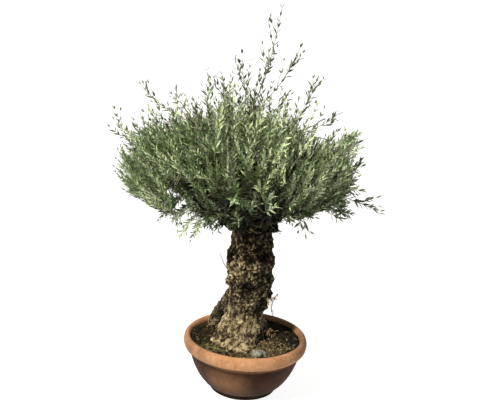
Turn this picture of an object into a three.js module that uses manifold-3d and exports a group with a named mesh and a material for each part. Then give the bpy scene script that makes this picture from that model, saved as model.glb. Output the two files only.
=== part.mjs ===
// Olive bonsai: an old pollarded trunk in a terracotta-coloured bowl, under a dense crown of upright shoots.
// Millimetres, +Z up. The origin is the middle of the bowl's flat underside, and the front faces -Y.

import * as THREE from "three";
import { mergeVertices } from "three/addons/utils/BufferGeometryUtils.js";
import Module from "manifold-3d";

const wasm = await Module();
wasm.setup();

// Driving dimensions

const CLEARANCE = 0.3; // gap between neighbouring solids

const BOWL = {
  rimRadius: 350,
  height: 312,
  rimWidth: 41, // the rolled rim's oval section
  rimHeight: 73,
  neckRadius: 318, // outside of the wall where it meets the rim
  neckDrop: 0.8, // share of the rim's height that hangs below its top at the neck
  footRadius: 192,
  footHeight: 25,
  footChamfer: 5,
  wall: 9,
  fullness: 1.53, // exponent of the belly's superellipse: 1 is a cone, 2 an ellipse
  bellySteps: 5,
  bellyCrowding: 1.4, // exponent that sets the belly's steps closer towards the foot
  rimSteps: 7,
  rimStart: -0.3 * Math.PI, // angle round the rim's oval at which it leaves the wall
  sides: 32,
};
const NECK_HEIGHT = BOWL.height - BOWL.neckDrop * BOWL.rimHeight;

const SOIL = { level: 285 };

const TRUNK = {
  forkHeight: 990, // top of the dome that the boughs stand on
  domeHeight: 70,
  domeClosing: 0.92, // 1 would close the dome to a point
  // height, half width and sideways shift of the stem, from the soil to the dome
  girth: [
    [SOIL.level, 118, -14],
    [440, 103, -5],
    [505, 103, 3],
    [565, 117, 21],
    [620, 127, 14],
    [680, 121, 8],
    [762, 140, 5],
    [820, 117, 5],
    [900, 105, 4],
    [990, 108, 2],
  ],
  fluteCount: 5,
  fluteDepth: 5,
  fluteTwist: 0.006, // radians a millimetre of height
  ridgeCount: 9, // ridges of the root mass, which die away above the soil
  ridgeDepth: 7,
  ridgeRise: 110,
  burlCount: 120,
  burlRise: [5, 17], // least and most
  burlSpread: [16, 38],
  burlSettling: 9, // taken off the girth, so that the burls don't fatten it
  hollow: { azimuth: 262, height: 608, width: 34, depth: 36 },
  sides: 34,
  steps: 32,
  seed: 11,
};

// Root flares: a lobe of the stem's foot that dies away with height above the soil
const FLARES = [
  { azimuth: 272, spread: 92, rise: 88 },
  { azimuth: 226, spread: 70, rise: 80 },
  { azimuth: 178, spread: 62, rise: 95 },
  { azimuth: 60, spread: 42, rise: 60 },
];
const FLARE_SHARPNESS = 5;

// The slanting root on the left, and the stubs of two sawn-off limbs under the crown
const BUTTRESS = {
  path: [
    [-20, 5, 640],
    [-92, 40, 520],
    [-158, 100, 392],
    [-196, 150, 262],
  ],
  radii: [46, 38, 41],
  sides: 9,
  steps: 6,
};
const STUBS = [
  { azimuth: 184, height: 902, rise: 34, reach: 134, radius: 22 },
  { azimuth: 352, height: 915, rise: 30, reach: 142, radius: 27 },
];
const STUB_SIDES = 8;

// The crown's outline: a barrel between a low cone on top and a skirt that rises outwards, more so in front
const CROWN = {
  middle: new THREE.Vector3(-100, 0, 1250), // of the crown's widest level
  radius: 640,
  span: 620, // half the height that the barrel's sides would close at
  peak: 1720,
  peakFall: 0.33,
  skirt: 920,
  skirtFrom: 270, // distance from the middle at which the skirt starts to rise
  skirtRise: 0.5,
  frontRise: 0.1,
};

// Leafy masses in tiers: each mass has a heart in the crown, and a bough from the trunk's head to it
const TIERS = [
  {
    name: "lower",
    sides: ["right", "back_right", "back", "back_left", "left", "front_left", "front", "front_right"],
    distance: 400,
    height: 1200,
    stagger: 30,
    seat: { distance: 46, height: 918 },
    elbow: { share: 0.52, rise: 0.34 },
    radii: [24, 11],
  },
  {
    name: "upper",
    sides: ["right", "back_right", "back_left", "left", "front"],
    distance: 240,
    height: 1450,
    stagger: 18,
    seat: { distance: 24, height: 948 },
    elbow: { share: 0.5, rise: 0.4 },
    radii: [19, 9],
  },
  {
    name: "top",
    sides: ["middle"],
    distance: 50,
    height: 1550,
    stagger: 0,
    seat: { distance: 0, height: 950 },
    elbow: { share: 0.3, rise: 0.5 },
    radii: [19, 9],
  },
];

const BOUGH = { sides: 6, steps: 4, taper: 0.8, probes: 14 };

const MASS = {
  gap: 3, // half the clear space between two masses
  step: 4, // by which the way to a mass's edge is felt out
  coreShare: 0.4, // of the way from the heart to the mass's edge
  coreMost: 96,
  coreDetail: 1,
  stem: 22, // of the stem that shows between bough and core
  headings: 10, // twigs spread evenly round the heart, of which the outer ones grow
  facing: -0.45, // how far round to its inner side a mass has twigs
};

// Growth habits. A shoot bends to the light, strays a little and forks into finer shoots.
const SIDE_TWIG = { radius: 3.4, tip: 2.6, steps: 1, lift: 0.12, stray: 0.1, forks: [], next: null };
const TWIG = {
  radius: 5,
  tip: 2.8,
  steps: 2,
  lift: 0.08,
  stray: 0.12,
  forks: [0.6],
  forkChance: 0.3,
  forkAngle: 42,
  forkShare: 0.45,
  next: SIDE_TWIG,
};
const LONG_SHOOT = { radius: 5, tip: 2.6, steps: 4, outwards: 0.72, upwards: 0.4, forks: [] };
const SHOOT_SIDES = 3;
const LIMB_GAP = 9; // clear space between a leaf or twig and a bough
const HEAD_RADIUS = 150; // space kept free round the trunk's head

// Leaves are larger than life, each in place of a small spray of real ones
const LEAF = {
  length: 136,
  width: 40,
  thickness: 5,
  waist: 0.34, // share of the length from the root to the widest place
  sunk: 1.2, // depth of the root past the twig's middle
  angle: 46, // from the twig
  pitch: 66, // between two pairs
  barest: 0.8, // most of a twig that may be bare
  vary: 0.15,
  apart: 42, // between the middles of two leaves
};
const LONG_SHOOT_LEAF = { ...LEAF, length: 92, width: 24, thickness: 4, pitch: 104 };
const LONG_SHOOT_BARE = 0.45; // share of a long shoot that has no leaves of its own

// Tips of the long shoots that stand out of the crown
const SHOOT_TIPS = [
  [83, 40, 2133],
  [192, -60, 1925],
  [32, 110, 1905],
  [-113, -80, 1876],
  [307, 60, 1804],
  [-285, 60, 1740],
  [-441, -130, 1672],
  [-660, 30, 1688],
  [-774, -40, 1555],
  [410, -140, 1600],
  [577, 60, 1351],
  [705, 0, 1044],
  [356, -230, 937],
  [-400, -60, 880],
  [-757, 40, 1234],
  [-120, -690, 1420],
  [-60, 690, 1440],
  [180, 520, 1700],
].map((tip) => new THREE.Vector3(...tip));

const COLOURS = {
  bowl: new THREE.MeshStandardMaterial({ color: 0xb8714c, roughness: 0.62, metalness: 0 }),
  soil: new THREE.MeshStandardMaterial({ color: 0x3f362b, roughness: 0.95, metalness: 0 }),
  bark: new THREE.MeshStandardMaterial({ color: 0x6f5d44, roughness: 0.9, metalness: 0 }),
  branch: new THREE.MeshStandardMaterial({ color: 0x5a4e3c, roughness: 0.85, metalness: 0 }),
  foliage: new THREE.MeshStandardMaterial({ color: 0x66784a, roughness: 0.55, metalness: 0 }),
};

const UP = new THREE.Vector3(0, 0, 1);

// Small helpers

// A repeatable stream of numbers from 0 to 1
function seededRandom(seed) {
  let state = seed >>> 0;
  return () => {
    state = (state + 0x6d2b79f5) >>> 0;
    let mixed = Math.imul(state ^ (state >>> 15), state | 1);
    mixed ^= mixed + Math.imul(mixed ^ (mixed >>> 7), mixed | 61);
    return ((mixed ^ (mixed >>> 14)) >>> 0) / 4294967296;
  };
}

// A unit vector from an azimuth round +Z and a lean from upright, both in degrees
function headingOf(azimuth, lean) {
  const a = THREE.MathUtils.degToRad(azimuth);
  const l = THREE.MathUtils.degToRad(lean);
  return new THREE.Vector3(Math.sin(l) * Math.cos(a), Math.sin(l) * Math.sin(a), Math.cos(l));
}

// Headings spread evenly over a ball, the nth of so many
function evenHeading(index, count) {
  const z = 1 - (2 * index + 1) / count;
  const turn = index * Math.PI * (3 - Math.sqrt(5));
  const across = Math.sqrt(1 - z * z);
  return new THREE.Vector3(across * Math.cos(turn), across * Math.sin(turn), z);
}

// A unit vector square to a heading
function acrossFrom(heading) {
  const aside = Math.abs(heading.z) < 0.9 ? UP : new THREE.Vector3(1, 0, 0);
  return new THREE.Vector3().crossVectors(heading, aside).normalize();
}

// The value at a place in a table of [place, value, ...] rows, eased between its rows
function easedRow(rows, place, column) {
  let i = 0;
  while (i < rows.length - 2 && place > rows[i + 1][0]) i++;
  const [low, high] = [rows[i], rows[i + 1]];
  const share = THREE.MathUtils.smoothstep(place, low[0], high[0]);
  return THREE.MathUtils.lerp(low[column], high[column], share);
}

// A closed geometry as a solid that can be joined and cut
function solidOf(geometry) {
  const bare = geometry.clone();
  for (const name of ["normal", "uv"]) bare.deleteAttribute(name);
  const merged = mergeVertices(bare, 1e-4);
  return new wasm.Manifold(
    new wasm.Mesh({
      numProp: 3,
      vertProperties: new Float32Array(merged.getAttribute("position").array),
      triVerts: new Uint32Array(merged.index.array),
    }),
  );
}

// The largest body of a solid, without loose scraps or sealed hollows, as a geometry
function geometryOf(solid) {
  const bodies = solid.decompose().sort((a, b) => b.volume() - a.volume());
  const mesh = bodies[0].getMesh();
  const geometry = new THREE.BufferGeometry();
  geometry.setAttribute("position", new THREE.BufferAttribute(mesh.vertProperties, 3));
  geometry.setIndex(new THREE.BufferAttribute(mesh.triVerts, 1));
  geometry.computeVertexNormals();
  return geometry;
}

// A tapering limb: a cylinder laid along a curve
function limbGeometry(curve, radiusAt, sides, steps) {
  const limb = new THREE.CylinderGeometry(1, 1, 1, sides, steps);
  const frames = curve.computeFrenetFrames(steps, false);
  const corners = limb.getAttribute("position");
  const corner = new THREE.Vector3();
  for (let i = 0; i < corners.count; i++) {
    corner.fromBufferAttribute(corners, i);
    const share = corner.y + 0.5;
    const step = Math.round(share * steps);
    const radius = radiusAt(share);
    const at = curve.getPointAt(share);
    at.addScaledVector(frames.normals[step], corner.x * radius);
    at.addScaledVector(frames.binormals[step], -corner.z * radius);
    corners.setXYZ(i, at.x, at.y, at.z);
  }
  return limb;
}

// Bowl and soil

// Radius of the bowl's outside at a height between its foot and its rim
function bellyRadius(height) {
  const share = THREE.MathUtils.clamp((height - BOWL.footHeight) / (NECK_HEIGHT - BOWL.footHeight), 0, 1);
  const swell = Math.pow(1 - Math.pow(1 - share, BOWL.fullness), 1 / BOWL.fullness);
  return BOWL.footRadius + (BOWL.neckRadius - BOWL.footRadius) * swell;
}

// Heights between two levels, closer together near the lower one
function bellyHeights(low, high) {
  const shares = Array.from({ length: BOWL.bellySteps + 1 }, (_, i) => i / BOWL.bellySteps);
  return shares.map((share) => THREE.MathUtils.lerp(low, high, Math.pow(share, BOWL.bellyCrowding)));
}

// Points up the inside of the bowl, from the middle of its floor to the vertical wall under its rim
function insideProfile(inset) {
  const raised = BOWL.wall / 2;
  const floor = BOWL.footHeight + raised;
  const wall = bellyHeights(floor, NECK_HEIGHT + raised).map((height) => {
    const radius = bellyRadius(height - raised) - BOWL.wall - inset;
    return new THREE.Vector2(radius, Math.max(height, floor + inset));
  });
  return [new THREE.Vector2(0, floor + inset), ...wall];
}

function bowlGeometry() {
  const rimCentre = new THREE.Vector2(
    BOWL.rimRadius - BOWL.rimWidth / 2,
    BOWL.height - BOWL.rimHeight / 2,
  );
  const profile = [
    new THREE.Vector2(0, 0),
    new THREE.Vector2(BOWL.footRadius - BOWL.footChamfer, 0),
    new THREE.Vector2(BOWL.footRadius, BOWL.footChamfer),
  ];
  for (const height of bellyHeights(BOWL.footHeight, NECK_HEIGHT)) {
    profile.push(new THREE.Vector2(bellyRadius(height), height));
  }
  for (let i = 0; i <= BOWL.rimSteps; i++) {
    const angle = THREE.MathUtils.lerp(BOWL.rimStart, Math.PI, i / BOWL.rimSteps);
    profile.push(
      new THREE.Vector2(
        rimCentre.x + (BOWL.rimWidth / 2) * Math.cos(angle),
        rimCentre.y + (BOWL.rimHeight / 2) * Math.sin(angle),
      ),
    );
  }
  profile.push(...insideProfile(0).reverse());
  return new THREE.LatheGeometry(profile, BOWL.sides).rotateX(Math.PI / 2);
}

function soilGeometry() {
  const profile = insideProfile(CLEARANCE);
  profile.push(new THREE.Vector2(BOWL.rimRadius - BOWL.rimWidth - CLEARANCE, SOIL.level));
  profile.push(new THREE.Vector2(0, SOIL.level));
  return new THREE.LatheGeometry(profile, BOWL.sides).rotateX(Math.PI / 2);
}

// Trunk

// Knobs of old bark, spread over the stem by the seed
function makeBurls() {
  const random = seededRandom(TRUNK.seed);
  const span = TRUNK.forkHeight - TRUNK.domeHeight - SOIL.level;
  return Array.from({ length: TRUNK.burlCount }, () => ({
    azimuth: random() * 2 * Math.PI,
    height: SOIL.level + random() * span,
    rise: THREE.MathUtils.lerp(...TRUNK.burlRise, random()),
    spread: THREE.MathUtils.lerp(...TRUNK.burlSpread, random()),
  }));
}
const BURLS = makeBurls();

// Distance round and up the stem between two places on it
function alongBark(azimuth, height, otherAzimuth, otherHeight) {
  const turn = Math.atan2(Math.sin(azimuth - otherAzimuth), Math.cos(azimuth - otherAzimuth));
  return Math.hypot(turn * TRUNK.girth[0][1], height - otherHeight);
}

function trunkRadius(azimuth, height) {
  let radius = easedRow(TRUNK.girth, height, 1) - TRUNK.burlSettling;
  const rise = height - SOIL.level;
  for (const flare of FLARES) {
    const facing = Math.cos(azimuth - THREE.MathUtils.degToRad(flare.azimuth));
    const lobe = Math.pow(Math.max(0, facing), FLARE_SHARPNESS);
    radius += flare.spread * lobe * Math.exp(-rise / flare.rise);
  }
  radius += TRUNK.fluteDepth * Math.cos(TRUNK.fluteCount * (azimuth + TRUNK.fluteTwist * rise));
  const ridge = Math.cos(TRUNK.ridgeCount * (azimuth - TRUNK.fluteTwist * rise));
  radius += TRUNK.ridgeDepth * ridge * Math.exp(-rise / TRUNK.ridgeRise);
  for (const burl of BURLS) {
    const away = alongBark(azimuth, height, burl.azimuth, burl.height);
    radius += burl.rise * Math.exp(-Math.pow(away / burl.spread, 2));
  }
  const { hollow } = TRUNK;
  const away = alongBark(azimuth, height, THREE.MathUtils.degToRad(hollow.azimuth), hollow.height);
  return radius - hollow.depth * Math.exp(-Math.pow(away / hollow.width, 2));
}

// The stem from its flat cut on the soil to the dome of its head, grown outwards by a small margin
function stemGeometry(margin) {
  const stem = new THREE.CylinderGeometry(1, 1, 1, TRUNK.sides, TRUNK.steps);
  const foot = SOIL.level + CLEARANCE;
  const shoulder = TRUNK.forkHeight - TRUNK.domeHeight;
  const corners = stem.getAttribute("position");
  const corner = new THREE.Vector3();
  for (let i = 0; i < corners.count; i++) {
    corner.fromBufferAttribute(corners, i);
    const share = corner.y + 0.5;
    const height = THREE.MathUtils.lerp(foot, TRUNK.forkHeight, share);
    const azimuth = Math.atan2(-corner.z, corner.x);
    const reach = Math.hypot(corner.x, corner.z);
    const upDome = THREE.MathUtils.clamp((height - shoulder) / TRUNK.domeHeight, 0, 1);
    const dome = Math.sqrt(1 - TRUNK.domeClosing * upDome * upDome);
    const radius = reach * (trunkRadius(azimuth, Math.min(height, shoulder)) * dome + margin);
    const shift = easedRow(TRUNK.girth, height, 2);
    corners.setXYZ(
      i,
      shift + radius * Math.cos(azimuth),
      radius * Math.sin(azimuth),
      height + margin * upDome,
    );
  }
  return stem;
}

// The stem with its slanting root and stubs, cut flat on the soil
function trunkSolid(margin) {
  const path = new THREE.CatmullRomCurve3(BUTTRESS.path.map((point) => new THREE.Vector3(...point)));
  const [root, middle, end] = BUTTRESS.radii;
  const rootRadius = (share) => margin + easedRow([[0, root], [0.5, middle], [1, end]], share, 1);
  const buttress = limbGeometry(path, rootRadius, BUTTRESS.sides, BUTTRESS.steps);
  let trunk = solidOf(stemGeometry(margin)).add(solidOf(buttress));
  for (const stub of STUBS) {
    const way = headingOf(stub.azimuth, 90);
    const start = new THREE.Vector3(0, 0, stub.height);
    const end = way.clone().multiplyScalar(stub.reach).setZ(stub.height + stub.rise);
    const limb = limbGeometry(new THREE.LineCurve3(start, end), () => stub.radius + margin, STUB_SIDES, 1);
    trunk = trunk.add(solidOf(limb));
  }
  return trunk.trimByPlane([0, 0, 1], SOIL.level + CLEARANCE);
}

// Boughs and the spaces of the masses

function layOutMasses() {
  const masses = [];
  for (const tier of TIERS) {
    tier.sides.forEach((side, i) => {
      const outward = headingOf((360 * i) / tier.sides.length, 90);
      const heart = CROWN.middle.clone().addScaledVector(outward, tier.distance);
      heart.z = tier.height + (i % 2 ? tier.stagger : -tier.stagger);
      const seat = outward.clone().multiplyScalar(tier.seat.distance).setZ(tier.seat.height);
      masses.push({ name: `${tier.name}_${side}`, tier, heart, seat, seed: 100 * masses.length + 7 });
    });
  }
  return masses;
}
const MASSES = layOutMasses();

// How far a point lies inside a mass's own cell, measured to the nearest wall shared with another mass
function depthInCell(point, mass) {
  let depth = Infinity;
  for (const other of MASSES) {
    if (other === mass) continue;
    const apart = mass.heart.distanceTo(other.heart);
    const nearer = point.distanceToSquared(other.heart) - point.distanceToSquared(mass.heart);
    depth = Math.min(depth, nearer / (2 * apart));
  }
  return depth;
}

function insideCrown(point) {
  const across = Math.hypot(point.x - CROWN.middle.x, point.y - CROWN.middle.y);
  const up = (point.z - CROWN.middle.z) / CROWN.span;
  if (Math.hypot(across / CROWN.radius, up) > 1) return false;
  if (point.z > CROWN.peak - CROWN.peakFall * across) return false;
  const rise = CROWN.skirtRise * Math.max(0, across - CROWN.skirtFrom);
  return point.z > CROWN.skirt + rise + CROWN.frontRise * Math.max(0, -point.y);
}

// Distance from a mass's heart along a heading to the edge of its space
function edgeDistance(mass, heading) {
  const at = mass.heart.clone();
  let distance = 0;
  while (insideCrown(at) && depthInCell(at, mass) > MASS.gap) {
    distance += MASS.step;
    at.addScaledVector(heading, MASS.step);
  }
  return Math.max(distance - MASS.step, 0);
}

function coreReach(mass, heading) {
  return Math.min(MASS.coreShare * edgeDistance(mass, heading), MASS.coreMost);
}

// The bough's curve: out of the trunk's head, round its elbow and on towards the heart of its mass
function boughCurve(mass) {
  const { elbow } = mass.tier;
  const bend = mass.seat.clone().lerp(mass.heart, elbow.share);
  bend.z = THREE.MathUtils.lerp(mass.seat.z, mass.heart.z, elbow.rise);
  const back = bend.clone().sub(mass.heart).normalize();
  const tip = mass.heart.clone().addScaledVector(back, coreReach(mass, back) + MASS.stem);
  return new THREE.QuadraticBezierCurve3(mass.seat, bend, tip);
}

function boughRadius(mass, share) {
  const [root, tip] = mass.tier.radii;
  return THREE.MathUtils.lerp(root, tip, Math.pow(share, BOUGH.taper));
}

for (const mass of MASSES) {
  mass.curve = boughCurve(mass);
  mass.limbPoints = mass.curve.getSpacedPoints(BOUGH.probes);
  mass.leafMiddles = [];
}

function boughGeometry(mass, swollenTrunk) {
  const limb = limbGeometry(mass.curve, (share) => boughRadius(mass, share), BOUGH.sides, BOUGH.steps);
  return geometryOf(solidOf(limb).subtract(swollenTrunk));
}

// True where a point keeps clear of the trunk's head and of every bough
function clearOfLimbs(point) {
  if (point.z < TRUNK.forkHeight + LIMB_GAP && Math.hypot(point.x, point.y) < HEAD_RADIUS) return false;
  return MASSES.every((mass) =>
    mass.limbPoints.every((limbPoint, i) => {
      const radius = boughRadius(mass, i / BOUGH.probes);
      return point.distanceTo(limbPoint) > radius + LIMB_GAP;
    }),
  );
}

// True where a leaf keeps to the mass's cell, clear of the limbs and apart from the leaves before it
function leafFits(blade, mass, leaf) {
  blade.computeBoundingSphere();
  const middle = blade.boundingSphere.center;
  if (mass.leafMiddles.some((other) => other.distanceTo(middle) < leaf.apart)) return false;
  const corners = blade.getAttribute("position");
  const corner = new THREE.Vector3();
  for (let i = 0; i < corners.count; i++) {
    corner.fromBufferAttribute(corners, i);
    if (depthInCell(corner, mass) < MASS.gap || !clearOfLimbs(corner)) return false;
  }
  mass.leafMiddles.push(middle);
  return true;
}

// Twigs and leaves

// A leaf as a flattened eight-sided blade on a heading, with its upper side facing a given way
function leafGeometry(root, heading, facing, leaf, grown) {
  const length = leaf.length * grown;
  const blade = new THREE.OctahedronGeometry(0.5);
  const corners = blade.getAttribute("position");
  for (let i = 0; i < corners.count; i++) {
    if (Math.abs(corners.getX(i)) < 0.25) corners.setX(i, leaf.waist - 0.5);
  }
  blade.scale(length, leaf.width * grown, leaf.thickness).translate(length / 2 - leaf.sunk, 0, 0);
  const side = new THREE.Vector3().crossVectors(facing, heading).normalize();
  const normal = new THREE.Vector3().crossVectors(heading, side);
  return blade.applyMatrix4(new THREE.Matrix4().makeBasis(heading, side, normal).setPosition(root));
}

// A curve through the first of some points that keep to the mass's cell, clear of the limbs
function curveInCell(mass, points, habit) {
  const inCell = (point) => depthInCell(point, mass) > MASS.gap + habit.radius && clearOfLimbs(point);
  const end = points.findIndex((point, i) => i > 0 && !inCell(point));
  const kept = end < 0 ? points : points.slice(0, end);
  return kept.length > 1 ? new THREE.CatmullRomCurve3(kept) : null;
}

// The path of a twig from its root, as it lifts and strays by its habit
function twigPath(mass, root, heading, length, habit, random) {
  const points = [root.clone()];
  const way = heading.clone();
  for (let step = 0; step < habit.steps; step++) {
    const stray = new THREE.Vector3(random() - 0.5, random() - 0.5, random() - 0.5);
    way.addScaledVector(UP, habit.lift).addScaledVector(stray, habit.stray).normalize();
    points.push(points[step].clone().addScaledVector(way, length / habit.steps));
  }
  return curveInCell(mass, points, habit);
}

// The path of a long shoot, which sweeps out from the mass's heart and then up or down to its tip
function longPath(mass, tip, habit) {
  const bend = mass.heart.clone().lerp(tip, habit.outwards);
  bend.z = THREE.MathUtils.lerp(mass.heart.z, tip.z, habit.upwards);
  const sweep = new THREE.QuadraticBezierCurve3(mass.heart, bend, tip);
  return curveInCell(mass, sweep.getSpacedPoints(habit.steps), habit);
}

// Leaves in opposite pairs, each pair a quarter turn round from the last, and one leaf at the shoot's tip
function leavesAlong(mass, curve, bare, leaf, random) {
  const blades = [];
  const length = curve.getLength();
  const from = Math.min(bare / length, leaf.barest);
  const pairs = Math.round(((1 - from) * length) / leaf.pitch);
  const open = THREE.MathUtils.degToRad(leaf.angle);
  const spin = random() * Math.PI;
  const growth = () => 1 + leaf.vary * (2 * random() - 1);
  for (let pair = 0; pair < pairs; pair++) {
    const share = THREE.MathUtils.lerp(from, 1, (pair + 0.4) / pairs);
    const along = curve.getTangentAt(share);
    const across = acrossFrom(along).applyAxisAngle(along, spin + (pair * Math.PI) / 2);
    for (const side of [1, -1]) {
      const heading = along.clone().multiplyScalar(Math.cos(open));
      heading.addScaledVector(across, side * Math.sin(open));
      blades.push(leafGeometry(curve.getPointAt(share), heading, along, leaf, growth()));
    }
  }
  const onward = curve.getTangentAt(1);
  blades.push(leafGeometry(curve.getPointAt(1), onward, acrossFrom(onward), leaf, growth()));
  return blades.filter((blade) => leafFits(blade, mass, leaf));
}

// A leafy shoot and the finer shoots that fork from it, as closed geometries to be joined
function growShoot(mass, curve, bare, habit, leaf, random) {
  if (!curve) return [];
  const radiusAt = (share) => THREE.MathUtils.lerp(habit.radius, habit.tip, share);
  const grown = [limbGeometry(curve, radiusAt, SHOOT_SIDES, habit.steps)];
  grown.push(...leavesAlong(mass, curve, bare, leaf, random));
  for (const share of habit.forks) {
    if (random() > habit.forkChance) continue;
    const along = curve.getTangentAt(share);
    const axis = acrossFrom(along).applyAxisAngle(along, 2 * Math.PI * random());
    const aside = along.clone().applyAxisAngle(axis, THREE.MathUtils.degToRad(habit.forkAngle));
    const reach = habit.forkShare * curve.getLength();
    const fork = twigPath(mass, curve.getPointAt(share), aside, reach, habit.next, random);
    grown.push(...growShoot(mass, fork, reach, habit.next, leaf, random));
  }
  return grown;
}

// The dense heart of a mass: a ball drawn out towards the edges of its space
function coreGeometry(mass) {
  const ball = new THREE.IcosahedronGeometry(1, MASS.coreDetail);
  const corners = ball.getAttribute("position");
  const heading = new THREE.Vector3();
  for (let i = 0; i < corners.count; i++) {
    heading.fromBufferAttribute(corners, i).normalize();
    const at = mass.heart.clone().addScaledVector(heading, coreReach(mass, heading));
    corners.setXYZ(i, at.x, at.y, at.z);
  }
  return ball;
}

// The mass in whose cell a point lies
function massNearest(point) {
  const nearer = (a, b) => (a.heart.distanceTo(point) < b.heart.distanceTo(point) ? a : b);
  return MASSES.reduce(nearer);
}

// One mass: a stem from the bough's tip, a dense core, and leafy twigs and long shoots that stand out of it
function massGeometry(mass) {
  const random = seededRandom(mass.seed);
  const start = mass.curve.getPointAt(1).addScaledVector(mass.curve.getTangentAt(1), CLEARANCE);
  const stemRadius = boughRadius(mass, 1);
  const stem = limbGeometry(new THREE.LineCurve3(start, mass.heart), () => stemRadius, BOUGH.sides, 1);
  const grown = [stem, coreGeometry(mass)];
  const outward = mass.heart.clone().sub(new THREE.Vector3(0, 0, TRUNK.forkHeight)).normalize();
  for (let i = 0; i < MASS.headings; i++) {
    const heading = evenHeading(i, MASS.headings);
    const bare = coreReach(mass, heading);
    const length = edgeDistance(mass, heading) - LEAF.length / 3;
    if (heading.dot(outward) < MASS.facing || length < bare) continue;
    const twig = twigPath(mass, mass.heart, heading, length, TWIG, random);
    grown.push(...growShoot(mass, twig, bare, TWIG, LEAF, random));
  }
  for (const tip of SHOOT_TIPS.filter((each) => massNearest(each) === mass)) {
    const inward = mass.heart.clone().sub(tip).setLength(LONG_SHOOT_LEAF.length);
    const shoot = longPath(mass, tip.clone().add(inward), LONG_SHOOT);
    const bare = LONG_SHOOT_BARE * tip.distanceTo(mass.heart);
    grown.push(...growShoot(mass, shoot, bare, LONG_SHOOT, LONG_SHOOT_LEAF, random));
  }
  return geometryOf(wasm.Manifold.union(grown.map(solidOf)));
}

// Assembly

function named(name, geometry, material) {
  const mesh = new THREE.Mesh(geometry, material);
  mesh.name = name;
  return mesh;
}

const bonsai = new THREE.Group();
bonsai.add(named("bowl", bowlGeometry(), COLOURS.bowl));
bonsai.add(named("soil", soilGeometry(), COLOURS.soil));
bonsai.add(named("trunk", geometryOf(trunkSolid(0)), COLOURS.bark));
const swollenTrunk = trunkSolid(CLEARANCE);
for (const mass of MASSES) {
  bonsai.add(named(`bough_${mass.name}`, boughGeometry(mass, swollenTrunk), COLOURS.branch));
  bonsai.add(named(`foliage_${mass.name}`, massGeometry(mass), COLOURS.foliage));
}

export default bonsai;
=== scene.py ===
"""Olive bonsai in a terracotta-coloured bowl: the looks of the part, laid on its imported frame.

Sizes are in millimetres, as in the part's source, and become metres where a mesh is made.
The front faces -Y and +Z is up.
"""

from __future__ import annotations

import logging
import math
from collections.abc import Callable
from dataclasses import dataclass, field
from enum import Enum
from functools import partial

import bmesh
import bpy
import numpy as np
from mathutils import Matrix

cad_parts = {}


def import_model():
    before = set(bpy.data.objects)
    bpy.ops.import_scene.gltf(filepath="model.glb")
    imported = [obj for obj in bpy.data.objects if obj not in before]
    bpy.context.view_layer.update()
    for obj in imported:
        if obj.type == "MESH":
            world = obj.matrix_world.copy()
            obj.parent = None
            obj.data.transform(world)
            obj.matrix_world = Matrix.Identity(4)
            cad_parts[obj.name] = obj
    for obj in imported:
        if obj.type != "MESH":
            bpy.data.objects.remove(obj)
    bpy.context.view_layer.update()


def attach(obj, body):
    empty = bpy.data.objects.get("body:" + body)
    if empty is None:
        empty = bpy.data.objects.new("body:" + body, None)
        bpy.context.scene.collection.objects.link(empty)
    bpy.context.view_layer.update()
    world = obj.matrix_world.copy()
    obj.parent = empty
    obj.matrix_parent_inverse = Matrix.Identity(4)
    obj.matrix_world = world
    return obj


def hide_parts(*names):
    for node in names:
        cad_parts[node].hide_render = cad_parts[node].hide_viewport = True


LOG = logging.getLogger("bonsai")
MM = 0.001
UP = np.array((0.0, 0.0, 1.0))
GOLDEN_TURN = math.pi * (3 - math.sqrt(5))
SOIL_LEVEL = 285.0
# Where the photograph was taken from
EYE = (0.0, -3128.0, 1643.0)

# Types
Array = np.ndarray
Rng = np.random.Generator
Node = bpy.types.Node
Socket = bpy.types.NodeSocket
Tree = bpy.types.NodeTree
Object = bpy.types.Object
Material = bpy.types.Material
Point = tuple[float, float, float]
Span = tuple[float, float]
Skin = tuple[Array, list]


# Small helpers


def linear(colour: str) -> tuple[float, float, float, float]:
    """Turn an sRGB hex colour to linear red, green, blue and alpha from 0 to 1."""
    shares = [int(colour[i : i + 2], 16) / 255 for i in (1, 3, 5)]
    return (*[s / 12.92 if s <= 0.04045 else ((s + 0.055) / 1.055) ** 2.4 for s in shares], 1.0)


def feed(node: Node, inputs: dict) -> None:
    """Set or link a node's inputs.

    Args:
        node: The node.
        inputs: By name or number, a value, a socket to link from or a node whose first open output is linked.
    """
    for name, value in inputs.items():
        if isinstance(value, Node):
            value = next(socket for socket in value.outputs if socket.enabled)
        if isinstance(value, Socket):
            node.id_data.links.new(value, node.inputs[name])
        else:
            node.inputs[name].default_value = value


def add_node(tree: Tree, kind: str, *values: object, **named: object) -> Node:
    """Add one node with its settings and links.

    Args:
        tree: The tree that takes the node.
        kind: The node's type name.
        *values: What goes into its open inputs, in their order.
        **named: What goes into other inputs, by capitalised name with an underscore for a space, and settings
            by small name; stops sets a colour ramp's places and colours.

    Returns:
        The new node.
    """
    node = tree.nodes.new(kind)
    if "stops" in named:
        elements = node.color_ramp.elements
        for place, colour in named.pop("stops"):
            elements.new(place).color = linear(colour)
        elements.remove(elements[0])
        elements.remove(elements[-1])
    for name in [name for name in named if name.islower()]:
        setattr(node, name, named.pop(name))
    numbers = [number for number, socket in enumerate(node.inputs) if socket.enabled]
    feed(node, dict(zip(numbers, values)))
    feed(node, {name.replace("_", " "): value for name, value in named.items()})
    return node


def new_material(name: str) -> tuple[Material, Node, Callable]:
    """Start a material.

    Args:
        name: The material's name.

    Returns:
        The material, its surface shader and the function that adds its nodes.
    """
    material = bpy.data.materials.new(name)
    material.use_nodes = True
    tree = material.node_tree
    return material, tree.nodes["Principled BSDF"], partial(add_node, tree)


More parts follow.
